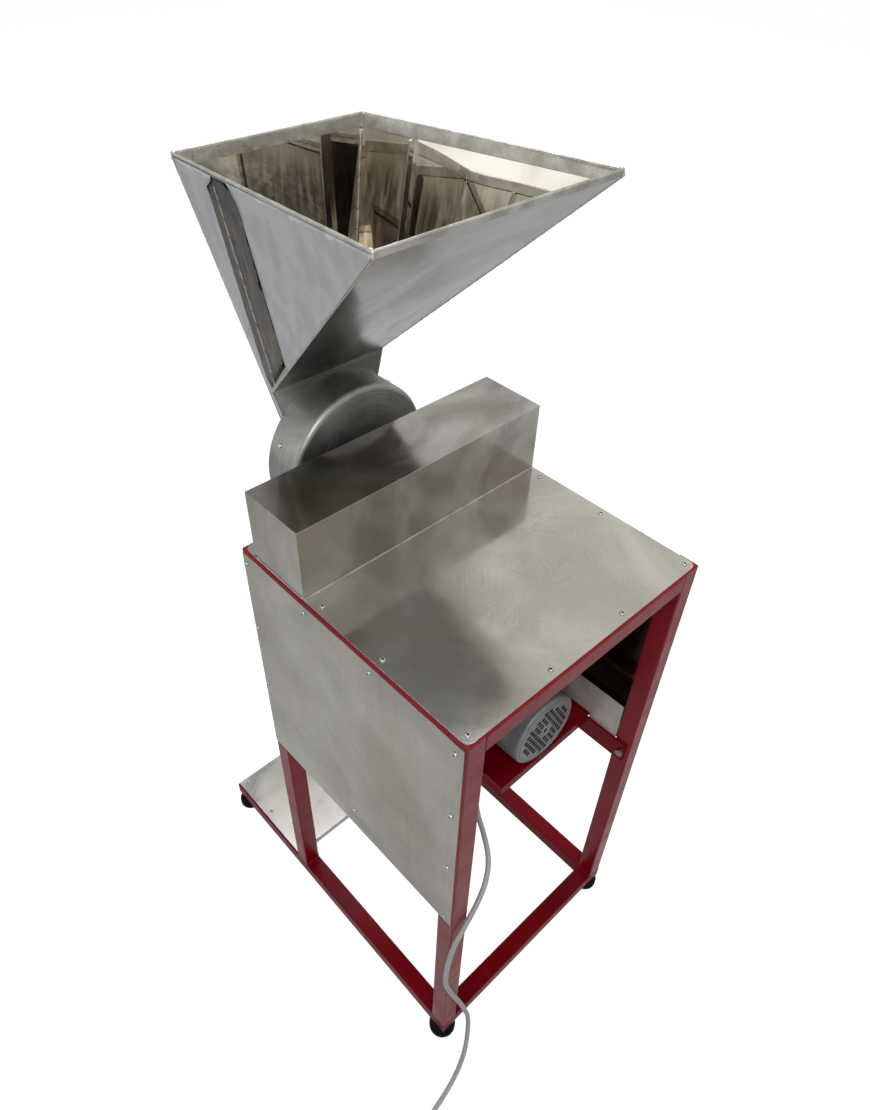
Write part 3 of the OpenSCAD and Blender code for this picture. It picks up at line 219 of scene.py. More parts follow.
def sheet_metal(name, dark, light, cloud=7.0, rough=(0.26, 0.44), brush=None, swirl=0.0, tint=0.8,
                edge=0.0006, grain=0.12, depth=0.12, bow=None, metal=1.0):
    """Hand-finished stainless: clouds, brown patches, sander arcs or brushed lines (scales, rotation)."""
    m = Mat(name, metal)
    c = m.fade(m.noise(cloud, 4, 0.55, 0.6), 0.34, 0.66, dark, light, ease="EASE")
    patches = m.noise(cloud * 0.6, 2, 0.5, 0.3, m.scaled(1, 1, 1, (1, 2, 3)))
    c = m.mix(m.ramp(patches, (0.5, 0.0), (0.75, 0.5)), c, tuple(tint * v for v in BROWN))
    if brush:
        scales, rotation = brush
        height = m.noise(1.0, 3, 0.65, co=m.scaled(*scales, rot=rotation))
    else:
        height = m.noise(900, 2)
    if swirl:
        arcs = m.mix(0.5, m.rings(0.16, 0.0018), m.rings(0.11, 0.0014, 2.0))
        height = m.mix(0.6, height, arcs)
        c = m.mix(swirl, c, m.ramp(arcs, (0.36, dark), (0.64, light)))
    if bow:
        streaks = m.ramp(m.noise(1.0, 3, 0.6, co=m.scaled(90, 90, 5)), (0.42, 0.45), (0.6, 1.0))
        above = m.math("MULTIPLY_ADD", m.split()[2], 10.0, -10 * BOW_Z)
        c = m.mix(m.ramp(above, (0.1, 0.75), (0.6, 0.0)), c, m.times(c, streaks))
    c = m.mix(grain, c, m.ramp(height, (0.3, 0.15), (0.7, 0.9)))
    smear = m.noise(cloud * 1.7, 3, 0.6, 0.8, m.scaled(1, 1, 1, (3, 1, 2)))
    m.set(Base_Color=c, Roughness=m.ramp(smear, (0.35, rough[0]), (0.65, rough[1])))
    return m.bump(height, depth, 0.0004, edge, bow)


def paint(name, colour, shade, coat=0.06, spec=0.24):
    m = Mat(name)
    m.set(Base_Color=m.fade(m.noise(9, 3), 0.35, 0.7, colour, shade),
          Roughness=m.ramp(m.noise(30, 3), (0.3, 0.3), (0.7, 0.44)),
          Coat_Weight=coat, Coat_Roughness=0.12, Specular_IOR_Level=spec)
    return m.bump(m.mix(0.4, m.noise(140, 2), m.noise(600, 2)), 0.09, 0.0006, 0.0012)


def plastic(name, a, b, rough=0.45, scale=400, strength=0.15, spec=0.5):
    m = Mat(name)
    grains = m.noise(scale, 3)
    m.set(Base_Color=m.fade(m.noise(25, 4), 0.3, 0.7, a, b), Specular_IOR_Level=spec,
          Roughness=m.ramp(grains, (0.3, rough - 0.06), (0.7, rough + 0.1)))
    return m.bump(grains, strength, 0.0004, 0.0005)


def bare_metal(name, a, b, rough=0.3):
    m = Mat(name, 1.0)
    grains = m.noise(500, 3)
    m.set(Base_Color=m.fade(m.noise(120, 4), 0.3, 0.7, a, b),
          Roughness=m.ramp(grains, (0.3, rough - 0.08), (0.7, rough + 0.12)))
    return m.bump(grains, 0.15, 0.0002, 0.0004)


def drum_metal():
    """Turned cast aluminium: dull grey with lines round the mill's axis."""
    m = Mat("turned_drum", 1.0)
    place = m.split()
    x = m.math("SUBTRACT", place[0], AXIS_X / 1000)
    z = m.math("SUBTRACT", place[2], AXIS_Z / 1000)
    r = m.math("SQRT", m.math("ADD", m.math("MULTIPLY", x, x), m.math("MULTIPLY", z, z)))
    round_axis = m.node("CombineXYZ")
    m.put(round_axis.inputs[0], m.math("MULTIPLY", r, 900.0))
    m.put(round_axis.inputs[1], m.math("MULTIPLY", place[1], 900.0))
    m.put(round_axis.inputs[2], m.math("ARCTAN2", z, x))
    lines = m.noise(1.0, 3, 0.6, co=round_axis.outputs[0])
    c = m.fade(m.noise(16, 4, 0.6, 0.5), 0.35, 0.65, (0.22, 0.215, 0.205), (0.38, 0.37, 0.355))
    c = m.mix(0.28, c, m.ramp(lines, (0.3, 0.1), (0.7, 0.7)))
    m.set(Base_Color=c, Roughness=m.ramp(m.noise(22, 3), (0.35, 0.44), (0.65, 0.58)))
    return m.bump(lines, 0.22, 0.0004, 0.0008)


def motor_paint():
    m = Mat("motor_paint", 0.35)
    grains = m.noise(450, 3)
    c = m.fade(m.noise(30, 4), 0.35, 0.65, (0.235, 0.235, 0.245), (0.31, 0.31, 0.32))
    m.set(Base_Color=c, Roughness=m.ramp(grains, (0.3, 0.38), (0.7, 0.52)))
    return m.bump(grains, 0.22, 0.0004, 0.0008)


def film():
    """Pale protective film with a mottled, cloudy sheen."""
    m = Mat("film", 0.4)
    spots = m.noise(30, 3, 0.5, 0.25, m.scaled(1, 1.3, 0.9))
    c = m.mix(m.ramp(spots, (0.36, 1.0), (0.6, 0.0), ease="EASE"), (0.63, 0.625, 0.64), (0.54, 0.53, 0.545))
    c = m.mix(m.ramp(m.noise(60, 3), (0.6, 0.0), (0.75, 0.3)), c, (0.53, 0.47, 0.46))
    m.set(Base_Color=c, Roughness=m.ramp(m.noise(40, 3), (0.3, 0.38), (0.7, 0.55)),
          Coat_Weight=0.35, Coat_Roughness=0.25)
    return m.bump(m.mix(0.5, m.noise(50, 3), m.noise(220, 2)), 0.12, 0.0006)


def bare_band():
    """Bare band along the hopper's seam, streaked along Z; its near-black and brown colour is a painted reflection.
    """
    m = Mat("stripped_band_painted_reflection", 1.0)
    lines = m.noise(1.0, 4, 0.6, co=m.scaled(120, 260, 6))
    # near-black to brown, with brown patches: painted reflection of the dark interior in the bare steel
    c = m.ramp(lines, (0.3, (0.012, 0.010, 0.008)), (0.5, (0.04, 0.034, 0.028)), (0.72, (0.17, 0.15, 0.125)))
    c = m.mix(m.ramp(m.noise(14, 2), (0.5, 0.0), (0.7, 0.6)), c, (0.11, 0.08, 0.04))
    m.set(Base_Color=c, Roughness=m.ramp(m.noise(60, 3), (0.3, 0.16), (0.7, 0.34)))
    return m.bump(lines, 0.25, 0.0006, 0.0006)


red = paint("red_paint", (0.29, 0.003, 0.011), (0.215, 0.002, 0.008))
# a darker, less glossy copy of the red paint: painted shade for the low and covered parts of the frame
shaded_red_paint = paint("red_paint_painted_shade", (0.215, 0.002, 0.008), (0.155, 0.0015, 0.006), coat=0.02, spec=0.09)
swirled = sheet_metal("stainless_swirled", (0.43, 0.405, 0.355), (0.62, 0.60, 0.55),
                      rough=(0.08, 0.17), swirl=0.17, depth=0.04, metal=0.86)
deck_steel = sheet_metal("stainless_deck", (0.33, 0.318, 0.289), (0.44, 0.427, 0.394),
                         rough=(0.26, 0.38), swirl=0.08, depth=0.04)
cover_steel = sheet_metal("stainless_cover", (0.22, 0.205, 0.175), (0.50, 0.485, 0.445),
                          rough=(0.13, 0.24), swirl=0.08, tint=0.6, depth=0.03)
panel_steel = sheet_metal("stainless_panel", (0.385, 0.368, 0.334), (0.51, 0.492, 0.447), 6.0,
                          rough=(0.34, 0.46), brush=((160, 120, 14), (0.5, 0, 0)), tint=0.6, grain=0.045)
hop_out = sheet_metal("stainless_brushed", (0.20, 0.195, 0.185), (0.31, 0.31, 0.30), 5.0,
                      rough=(0.14, 0.26), brush=((7, 700, 300), (0, -0.35, 0)), tint=0.5)
hop_in_front, hop_in_back = [
    sheet_metal("stainless_mirror_" + tag, (0.50, 0.46, 0.40), (0.67, 0.64, 0.575), 9.0,
                rough=(0.012, 0.04), grain=0.0, depth=0.0, edge=0.0, bow=bow)
    for tag, bow in (("front", (0.0, 0.0014)), ("back", (0.07, 0.0014)))]
dull = sheet_metal("stainless_dull", (0.48, 0.45, 0.41), (0.62, 0.59, 0.545), 16.0,
                   rough=(0.42, 0.55), grain=0.05, metal=0.35)
# side panels' inner faces: the dark maroon colour is painted shade and a painted reflection of the red frame
inner_shade_steel = sheet_metal("stainless_inner_painted_shade", (0.10, 0.045, 0.045), (0.17, 0.10, 0.095), 6.0,
                      rough=(0.08, 0.16), grain=0.0, tint=0.3)
mild = sheet_metal("stainless_plain", (0.32, 0.31, 0.285), (0.46, 0.44, 0.41), 14.0, rough=(0.3, 0.45))
rim_steel = sheet_metal("stainless_ground", (0.40, 0.38, 0.335), (0.60, 0.58, 0.53), 40.0,
                        rough=(0.24, 0.4), grain=0.2)
zinc = bare_metal("zinc", (0.40, 0.42, 0.44), (0.60, 0.61, 0.62))
iron = bare_metal("machined_iron", (0.22, 0.21, 0.20), (0.34, 0.33, 0.32), 0.42)
rubber = plastic("rubber", (0.003, 0.003, 0.003), (0.009, 0.009, 0.009), 0.65, 300, 0.3, 0.06)
black = plastic("black_plastic", (0.012, 0.012, 0.013), (0.03, 0.03, 0.032), 0.36)
cord_grey = plastic("cord_pvc", (0.44, 0.44, 0.43), (0.52, 0.52, 0.51), 0.42, 500, 0.08)
plug_grey = plastic("plug_pvc", (0.46, 0.46, 0.45), (0.55, 0.55, 0.54), 0.4, 600, 0.12)
motor_dark = plastic("motor_casting", (0.055, 0.058, 0.062), (0.09, 0.093, 0.10), 0.5, 250, 0.4)
motor_grey = motor_paint()
drum_skin = drum_metal()
film_skin = film()
band_painted_reflection = bare_band()


# ---------------------------------------------------------------- helpers
def link(name, data, body, *mats):
    o = D.objects.new(name, data)
    SCENE.collection.objects.link(o)
    for m in mats:
        data.materials.append(m)
    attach(o, body)
    return o


def dress(mat, *nodes):
    for n in nodes:
        materials = N[n].data.materials
        materials.clear()
        materials.append(mat)


def mesh_of(name, bm, smooth=True):
    """Ends a bmesh as a mesh."""
    me = D.meshes.new(name)
    bm.to_mesh(me)
    bm.free()
    if smooth:
        me.shade_smooth()
    return me


def bake(o):
    """Applies every modifier of a piece."""
    dg = bpy.context.evaluated_depsgraph_get()
    me = D.meshes.new_from_object(o.evaluated_get(dg), preserve_all_data_layers=True, depsgraph=dg)
    o.modifiers.clear()
    o.data = me


def ring(bm, centre, u, w, radius, sides):
    """A circle of vertices in the plane of u and w."""
    angles = [2 * math.pi * k / sides for k in range(sides)]
    return [bm.verts.new(centre + radius * (math.cos(a) * u + math.sin(a) * w)) for a in angles]


def tube(bm, rings, second=None):
    """Joins rings into a closed tube, whose rows from the number second on take the second material."""
    def slot(row):
        return 0 if second is None or row < second else 1

    for row, (a, b) in enumerate(zip(rings, rings[1:])):
        for k in range(len(a)):
            j = (k + 1) % len(a)
            bm.faces.new((a[k], a[j], b[j], b[k])).material_index = slot(row)
    bm.faces.new(rings[0][::-1])
    bm.faces.new(rings[-1]).material_index = slot(len(rings))


def lathe(bm, profile, origin, axis, sides, second=None):
    """A piece turned round an axis from (radius, distance) pairs in metres."""
    u = axis.orthogonal().normalized()
    w = axis.cross(u)
    tube(bm, [ring(bm, origin + axis * h, u, w, r, sides) for r, h in profile], second)


def swept(name, paths, radius, mat, sides=10, wobble=0.0, step=0.0015, tapered=True):
    """One mesh of round beads along paths of points in metres; wobble makes them lumpy like a weld."""
    bm = bmesh.new()
    for path in paths:
        fine = []
        for a, b in zip(path, path[1:]):
            n = max(1, int((b - a).length / step))
            fine += [a.lerp(b, i / n) for i in range(n)]
        fine.append(path[-1])
        last = len(fine) - 1
        rings, u = [], None
        for i, p in enumerate(fine):
            d = (fine[min(i + 1, last)] - fine[max(i - 1, 0)]).normalized()
            u = d.orthogonal() if u is None else u
            u = (u - d * u.dot(d)).normalized()
            r = radius
            if wobble:
                r *= 1 + wobble * (0.6 * math.sin(i * 0.9) + noise.noise(p * 400))
            if tapered and i in (0, last):
                r *= 0.35
            rings.append(ring(bm, p, u, d.cross(u), r, sides))
        tube(bm, rings)
    bmesh.ops.recalc_face_normals(bm, faces=bm.faces)
    return link(name, mesh_of(name, bm), "frame", mat)


WELD = 0.00002        # metres within which the CAD's vertices are one
FLAT = 0.6            # degrees within which its faces are one


def refined(name, node, mats, width, segments=2, angle=28, pick=None, body="frame"):
    """A copy of a CAD solid with clean faces and really rounded edges, standing for it."""
    bm = bmesh.new()
    bm.from_mesh(N[node].data)
    bmesh.ops.remove_doubles(bm, verts=bm.verts, dist=WELD)
    bmesh.ops.dissolve_limit(bm, angle_limit=math.radians(FLAT), verts=bm.verts, edges=bm.edges)
    bmesh.ops.recalc_face_normals(bm, faces=bm.faces)
    if pick:
        for f in bm.faces:
            f.material_index = pick(f)
    o = link(name, mesh_of(name, bm), body, *mats)
    b = o.modifiers.new("edges", "BEVEL")
    b.width, b.segments, b.limit_method, b.angle_limit = width, segments, "ANGLE", math.radians(angle)
    w = o.modifiers.new("normals", "WEIGHTED_NORMAL")
    w.keep_sharp = True
    w.weight = 90
    bake(o)
    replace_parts(o, node)


def block(name, lo, hi, mat):
    """A plain bar with softened edges between two corners."""
    bm = bmesh.new()
    bmesh.ops.create_cube(bm, size=1)
    for v in bm.verts:
        v.co = Vector([(a + b) / 2 + c * (b - a) for a, b, c in zip(lo, hi, v.co)])
    bmesh.ops.bevel(bm, geom=list(bm.edges), offset=0.0003, segments=2, affect="EDGES")
    return link(name, mesh_of(name, bm, smooth=False), "frame", mat)


# ---------------------------------------------------------------- mains cord, in mm until line_m
R_CORD = 4.0
COIL_C = Vector((400, 462, 4))
COIL_R, COIL_PITCH, TURNS = 32, 8.6, 3   # innermost radius, from turn to turn, turns in each of two layers
COIL_STEPS = 48
OUT_R = COIL_R + COIL_PITCH * TURNS
PLUG_RUN, PLUG_Z = 64, 14                # from the coil to the plug, and the plug's height
route = [(14, 124, 573.5), (14, 134, 573.5), (14, 144, 573.5), (15, 155, 573), (20, 168, 571), (30, 180, 566),
         (45, 193, 559), (63, 208, 551), (82, 226, 541), (97, 248, 528), (107, 272, 511), (120, 295, 493),
         (140, 311, 475), (167, 321, 458), (194, 326, 437), (214, 327.5, 408), (225, 329, 372), (230, 330, 335),
         (229, 331, 296), (215, 332, 235), (197, 334, 170), (182, 336, 108), (175, 339, 68), (177, 344, 38),
         (186, 352, 17), (201, 362, 6), (220, 371, 4), (240, 378, 4), (268, 385, 4), (302, 391, 4), (345, 400, 4),
         (COIL_C.x, COIL_C.y - OUT_R, 4)]


def spline(p, s):
    return 0.5 * (2 * p[1] + (p[2] - p[0]) * s + (2 * p[0] - 5 * p[1] + 4 * p[2] - p[3]) * s * s
                  + (3 * p[1] - p[0] - 3 * p[2] + p[3]) * s ** 3)


def curve_points(pts, n):
    """A smooth curve through points, with n steps between each two."""
    last = len(pts) - 1
    out = []
    for i in range(last):
        near = [pts[max(0, min(last, i + k))] for k in (-1, 0, 1, 2)]
        out += [spline(near, j / n) for j in range(n)]
    return out + [pts[-1]]


def ease(s):
    s = max(0.0, min(1.0, s))
    return s * s * (3 - 2 * s)


def coil_point(turns):
    """Winds inwards on the floor, climbs one cord and winds outwards on top."""
    a = math.radians(270 + 360 * turns)
    r = COIL_R + COIL_PITCH * abs(TURNS - turns)
    climb = COIL_PITCH * ease((turns - TURNS + 0.25) * 2)
    return COIL_C + Vector((r * math.cos(a), r * math.sin(a), climb))


tail = COIL_C + Vector((0, -OUT_R, COIL_PITCH))
line = curve_points([Vector(p) for p in route], 6)
line += [coil_point(i / COIL_STEPS) for i in range(1, 2 * TURNS * COIL_STEPS + 1)]
line += [tail + Vector((PLUG_RUN * k / 10, 0, (PLUG_Z - COIL_PITCH) * ease(k / 8))) for k in range(1, 11)]
line_m = [p / 1000 for p in line]
curve = D.curves.new("mains_cord", "CURVE")
curve.dimensions = "3D"
curve.bevel_depth = R_CORD / 1000
curve.bevel_resolution = 5
curve.use_fill_caps = True
strand = curve.splines.new("POLY")
strand.points.add(len(line_m) - 1)
for q, p in zip(strand.points, line_m):
    q.co = (*p, 1)
strand.use_smooth = True
cord = link("mains_cord", curve, "frame", cord_grey)
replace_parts(cord, "power_cord", "cord_coil")

RIBS, RIB_PITCH = 6, 3.6                 # of the strain relief, whose outline is (radius, distance)
RELIEF_R, RELIEF_TIP_R = 7.0, 4.8
RIB_OUTLINE = ((0, 0), (0.5, 0.4), (0.5, 1.9), (-0.1, 2.3), (-0.1, 3.5))
profile = []
for i in range(RIBS):
    r = RELIEF_R + (RELIEF_TIP_R - RELIEF_R) * i / (RIBS - 1)
    profile += [(r + dr, i * RIB_PITCH + dh) for dr, dh in RIB_OUTLINE]
profile += [(4.7, RIBS * RIB_PITCH), (4.2, RIBS * RIB_PITCH + 0.8)]
bm = bmesh.new()
lathe(bm, [(r / 1000, h / 1000) for r, h in profile], mm(14, 139.6, 573.5), Vector((0, 1, 0)), 40)
bmesh.ops.recalc_face_normals(bm, faces=bm.faces)
relief = link("strain_relief", mesh_of("strain_relief", bm), "frame", black)

# ---------------------------------------------------------------- CAD nodes that keep their shape
dress(red, "leg_front_left", "leg_front_right", "leg_back_left", "leg_back_right", "top_rail_front",
      "top_rail_back", "top_rail_left", "top_rail_right", "panel_rail_left")
# base rails, motor rails and motor plate take the darker red copy, as painted shade low in the frame and under the
# top plate
dress(shaded_red_paint, "base_rail_front", "base_rail_back", "base_rail_left", "base_rail_right", "motor_rail_right",
      "motor_cross_bars", "motor_plate")
dress(rubber, "feet", "v_belt")
dress(zinc, "foot_studs", "bearing_bolts", "drum_screws", "hammer_pins", "hammer_1", "hammer_2", "hammer_3",
      "hammer_4")
dress(swirled, "top_plate")
dress(deck_steel, "deck_plate")
dress(dull, "guard_strip")
dress(motor_grey, "motor_end_shield")
dress(motor_dark, "motor_body", "terminal_box", "terminal_lid")
dress(black, "switch_rocker", "cable_gland", "motor_fan")
dress(iron, "motor_bolts", "motor_shaft", "mill_shaft", "bearing_back", "bearing_front", "rotor_disc",
      "mill_pulley", "motor_pulley")
dress(drum_skin, "mill_drum", "mill_front_cover")
dress(mild, "sieve_ring", "outlet_spout", "gate_guides")
dress(plug_grey, "cord_plug")


# ---------------------------------------------------------------- pan heads of the sheets' screws
# (radius, height over the head's top) in metres; rows from the socket row on are the socket, black as painted shade
# in its recess
PAN_HEAD = [(0.0019, -0.0036), (0.0019, -0.0026), (0.0039, -0.0026), (0.0040, -0.0018), (0.0037, -0.0009),
            (0.0031, -0.0003), (0.0023, 0.0), (0.0017, 0.0), (0.0016, -0.0012), (0.0012, -0.0016)]
SHADED_SOCKET_ROW = 7


def islands(node):
    """Boxes (low, high) of the loose solids of a CAD node."""
    bm = bmesh.new()
    bm.from_mesh(N[node].data)
    bmesh.ops.remove_doubles(bm, verts=bm.verts, dist=0.00001)
    seen, out = set(), []
    for v in bm.verts:
        if v in seen:
            continue
        seen.add(v)
        todo, pts = [v], []
        while todo:
            a = todo.pop()
            pts.append(a.co.copy())
            new = [e.other_vert(a) for e in a.link_edges if e.other_vert(a) not in seen]
            seen.update(new)
            todo += new
        out.append(([min(p[i] for p in pts) for i in range(3)], [max(p[i] for p in pts) for i in range(3)]))
    bm.free()
    return out


def pan_heads(name, node):
    """Screws of a node as turned heads, each on its own axis and facing away from the machine."""
    bm = bmesh.new()
    for lo, hi in islands(node):
        span = [b - a for a, b in zip(lo, hi)]
        thin = span.index(min(span))
        sign = -1 if thin == 0 and lo[0] < AXIS_X / 1000 else 1
        axis = Vector([sign if i == thin else 0 for i in range(3)])
        top = Vector([(a + b) / 2 for a, b in zip(lo, hi)])
        top[thin] = hi[thin] if sign > 0 else lo[thin]
        scale = max(span) / 2 / max(r for r, _ in PAN_HEAD)
        # the socket's rows take black plastic, as painted shade in the recess
        lathe(bm, [(r * scale, h) for r, h in PAN_HEAD], top, axis, 28, SHADED_SOCKET_ROW)
    bmesh.ops.recalc_face_normals(bm, faces=bm.faces)
    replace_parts(link(name, mesh_of(name, bm), "frame", zinc, black), node)


pan_heads("panel_screws", "sheet_screws")

# ---------------------------------------------------------------- belt cover and side panels
SEAM_OUT, SEAM_UP, SEAM_IN = 0.3, 0.7, 1.0   # how far the cover's seam lies out of its walls, up and short of corners

refined("belt_hood", "belt_cover", [cover_steel], 0.0014, segments=3)
hood_lo, hood_hi = box_mm("belt_cover")
seam_z = hood_lo.z + SEAM_UP
seam = [[mm(s * (hood_hi.x - SEAM_IN), y, seam_z) for s in (-1, 1)]
        for y in (hood_hi.y + SEAM_OUT, hood_lo.y - SEAM_OUT)]
seam += [[mm(s * (hood_hi.x + SEAM_OUT), y, seam_z) for y in (hood_hi.y - SEAM_IN, hood_lo.y + SEAM_IN)]
         for s in (1, -1)]
swept("cover_seam", seam, 0.0012, rim_steel, 8, 0.08, 0.003)

# each panel's inward faces take the dark maroon steel of painted shade and painted reflection
for tag, inwards in (("right", 1), ("left", -1)):
    refined("panel_" + tag, "side_panel_" + tag, [panel_steel, inner_shade_steel], 0.0003,
            pick=lambda f: 1 if f.normal.x * inwards > 0.9 else 0)

# ---------------------------------------------------------------- motor's fan cover
cowl_lo, cowl_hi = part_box("fan_cover")
cowl_x, cowl_z = (cowl_lo[0] + cowl_hi[0]) / 2, (cowl_lo[2] + cowl_hi[2]) / 2
cowl_r = (cowl_hi[0] - cowl_lo[0]) / 2
LIP_IN = 0.0065                  # from the cover's outside to the bead on its face
LIP_STEPS = 60
WALL_DEEP = 0.009                # from the cover's outside to the innermost faces of its painted wall
FACES_BACK, FACES_OUT = 0.15, 0.4    # parts of a painted face's normal along Y and away from the axis


def cowl_side(f):
    """0 on the painted outside, 1 inside and in the holes."""
    c, n = f.calc_center_median(), f.normal
    r = math.hypot(c.x - cowl_x, c.z - cowl_z)
    outwards = (n.x * (c.x - cowl_x) + n.z * (c.z - cowl_z)) / max(r, 0.0001)
    return 0 if n.y > FACES_BACK or outwards > FACES_OUT and r > cowl_r - WALL_DEEP else 1


refined("fan_cowl", "fan_cover", [motor_grey, black], 0.0004, segments=1, angle=35, pick=cowl_side)
angles = [2 * math.pi * k / LIP_STEPS for k in range(LIP_STEPS + 1)]
lip = [Vector((cowl_x + (cowl_r - LIP_IN) * math.cos(a), cowl_hi[1], cowl_z + (cowl_r - LIP_IN) * math.sin(a)))
       for a in angles]
swept("cowl_lip", [lip], 0.0009, motor_grey, 8, step=0.002, tapered=False)

# ---------------------------------------------------------------- feed gate, and the bar behind the guard strip
KNOB_L = 0.0215
gate_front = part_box("feed_gate")[0][1]
refined("gate_plate", "feed_gate", [mild, black], 0.0003, body="feed_gate",
        pick=lambda f: 1 if f.calc_center_median().y < gate_front + KNOB_L else 0)

BACKING_W, BACKING_H = 1.9, 14.5
BACKING_Y, BACKING_PAST = 92, 0.5    # where the bar starts, and how far it goes past the strip's end
strip_lo, strip_hi = box_mm("guard_strip")
rail_top = box_mm("motor_rail_right")[1].z
block("strip_backing", mm(strip_lo.x - BACKING_W, BACKING_Y, rail_top),
      mm(strip_lo.x, strip_hi.y + BACKING_PAST, rail_top + BACKING_H), red)

# ---------------------------------------------------------------- hopper
HEM = 12                         # height of the rim's ground hem
RIB_HALF, RIB_END, RIB_X = 2.2, 300, 146   # the seam's rib inside: half width, length down, half span
BEAD_IN, BEAD_UP = 0.6, 0.2      # the rim's bead lies this far inside the corners and above them
THROAT_Y, THROAT_Z = -190, 1050  # the hollow's middle is at this y up to this height
MIDDLE_BACK, MIDDLE_UP = 100, 280    # and from there it moves so far back over so much height


def rim_z(y):
    """Height of the mouth's edge along a side."""
    return Z_F + (Z_B - Z_F) * (y - Y_F) / (Y_B - Y_F)


def corner(half, y, z, side_sign):
    return mm(AXIS_X + side_sign * half, y, z)


def front_corner(drop, side_sign, inset=0.0):
    """A point on the front half's corner line, so far down from the mouth."""
    return corner(HALF_F - inset - TAPER * drop, Y_F + inset + LEAN * drop, Z_F - drop, side_sign)


def hop_face(f):
    """0 on the outside, 1 on the inside, 2 on the hem and the seam's rib."""
    c, n = f.calc_center_median() * 1000, f.normal
    drop = rim_z(c.y) - c.z
    rib = abs(c.y - SEAM_Y) < RIB_HALF and abs(n.y) < 0.99 and drop < RIB_END and abs(c.x - AXIS_X) < RIB_X
    if drop < HEM or rib:
        return 2
    middle_y = THROAT_Y + MIDDLE_BACK * max(0.0, (c.z - THROAT_Z) / MIDDLE_UP)
    middle = Vector((AXIS_X, middle_y, c.z))
    return 0 if n.dot(c - middle) > 0 else 1


refined("hopper_walls_front", "hopper_front", [hop_out, hop_in_front, rim_steel], 0.0005, angle=20, pick=hop_face)
refined("hopper_walls_back", "hopper_back", [hop_out, hop_in_back, rim_steel], 0.0005, angle=20, pick=hop_face)

front_y, back_y = Y_F + BEAD_IN, Y_B - BEAD_IN
rim = [corner(HALF_F - BEAD_IN, front_y, Z_F + BEAD_UP, 1), corner(HALF_B - BEAD_IN, back_y, Z_B + BEAD_UP, 1),
       corner(HALF_B - BEAD_IN, back_y, Z_B + BEAD_UP, -1), corner(HALF_F - BEAD_IN, front_y, Z_F + BEAD_UP, -1)]
swept("rim_bead", [[a, b] for a, b in zip(rim, rim[1:] + rim[:1])], 0.0017, rim_steel, 10, 0.05, 0.003)

# (half width, y, z) down the back half's corner, and where each weld at the mouth ends
BACK_CORNER = ((HALF_B, Y_B, Z_B - 1), (HALF_B, Y_B, Z_B - 6), (93, -165, Z_F - CREASE_DROP), (50, -165, 880))
BACK_WELD_END, FRONT_WELD_END = (HALF_B, Y_B - 1, Z_B - 7), (HALF_F - 1.4, Y_F + 0.8, Z_F - 7)
seams, welds, fillets = [], [], []
for s in (1, -1):
    seams.append([corner(*p, s) for p in BACK_CORNER])
    seams.append([corner(HALF_F, Y_F, Z_F - 1, s), front_corner(CREASE_DROP, s), front_corner(430, s)])
    fillets.append([front_corner(drop, s, 2.2) for drop in (15, 277)])
    for half, y, z, out, end in ((HALF_B, Y_B, Z_B, 1, BACK_WELD_END), (HALF_F, Y_F, Z_F, -1, FRONT_WELD_END)):
        welds.append([corner(half - 0.6, y - out * 7, z - out * 0.3, s),
                      corner(half - 1.2, y - out * 1.2, z + 0.4, s), corner(*end, s)])
swept("corner_fillets", fillets, 0.0017, rim_steel, 10, 0.12, 0.003)
swept("corner_seams", seams, 0.0009, rim_steel, 8, 0.18, 0.002)
swept("corner_welds", welds, 0.0022, rim_steel, 10, 0.22, 0.0012)

# ---------------------------------------------------------------- film and bare bands on the hopper's sides
FILM_LIFT, FILM_THICK, FILM_WAVE = 0.00012, 0.00022, 0.0003
BAND_LIFT, BAND_THICK = 0.00005, 0.00006
FILM_DOWN = 3                    # the film starts this far under the mouth's edge
SKIN_EDGE, SPLITS = 0.012, 5     # longest edge in a skin's mesh, and how often long ones are split

walls = bmesh.new()
for n in ("hopper_front", "hopper_back"):
    walls.from_mesh(N[n].data)
wall_tree = BVHTree.FromBMesh(walls)
walls.free()


def wall_x(y, z, s):
    """X of a side wall's outer face, or None beside it."""
    hit = wall_tree.ray_cast(Vector((s * 0.5, y, z)), Vector((-s, 0, 0)))[0]
    return None if hit is None else hit.x


def skin(name, outline, s, lift, mat, thick, wave=0.0):
    """A thin skin on a side wall inside an outline of (y, z) in mm."""
    bm = bmesh.new()
    f = bm.faces.new([bm.verts.new((0, y / 1000, z / 1000)) for y, z in outline])
    bmesh.ops.triangulate(bm, faces=[f])
    for _ in range(SPLITS):
        long = [e for e in bm.edges if e.calc_length() > SKIN_EDGE]
        if not long:
            break
        bmesh.ops.subdivide_edges(bm, edges=long, cuts=1, use_grid_fill=False)
        bmesh.ops.triangulate(bm, faces=[g for g in bm.faces if len(g.verts) > 3])
    for v in bm.verts:
        p = v.co.copy()
        p.x = wall_x(p.y, p.z, s)
        p.x += s * lift
        v.co.x = p.x + s * wave * (0.5 + noise.noise(p * 45))
    bmesh.ops.recalc_face_normals(bm, faces=bm.faces)
    if sum(g.normal.x for g in bm.faces) * s < 0:
        bmesh.ops.reverse_faces(bm, faces=bm.faces)
    o = link(name, mesh_of(name, bm), "frame", mat)
    solid = o.modifiers.new("thickness", "SOLIDIFY")
    solid.thickness = thick
    solid.offset = 1
    bake(o)


def rag(a, b, n, amp, seed):
    """Ragged cut from a to b, without its ends."""
    r = random.Random(seed)
    return [tuple(p + (q - p) * i / n + r.uniform(-amp, amp) for p, q in zip(a, b)) for i in range(1, n)]


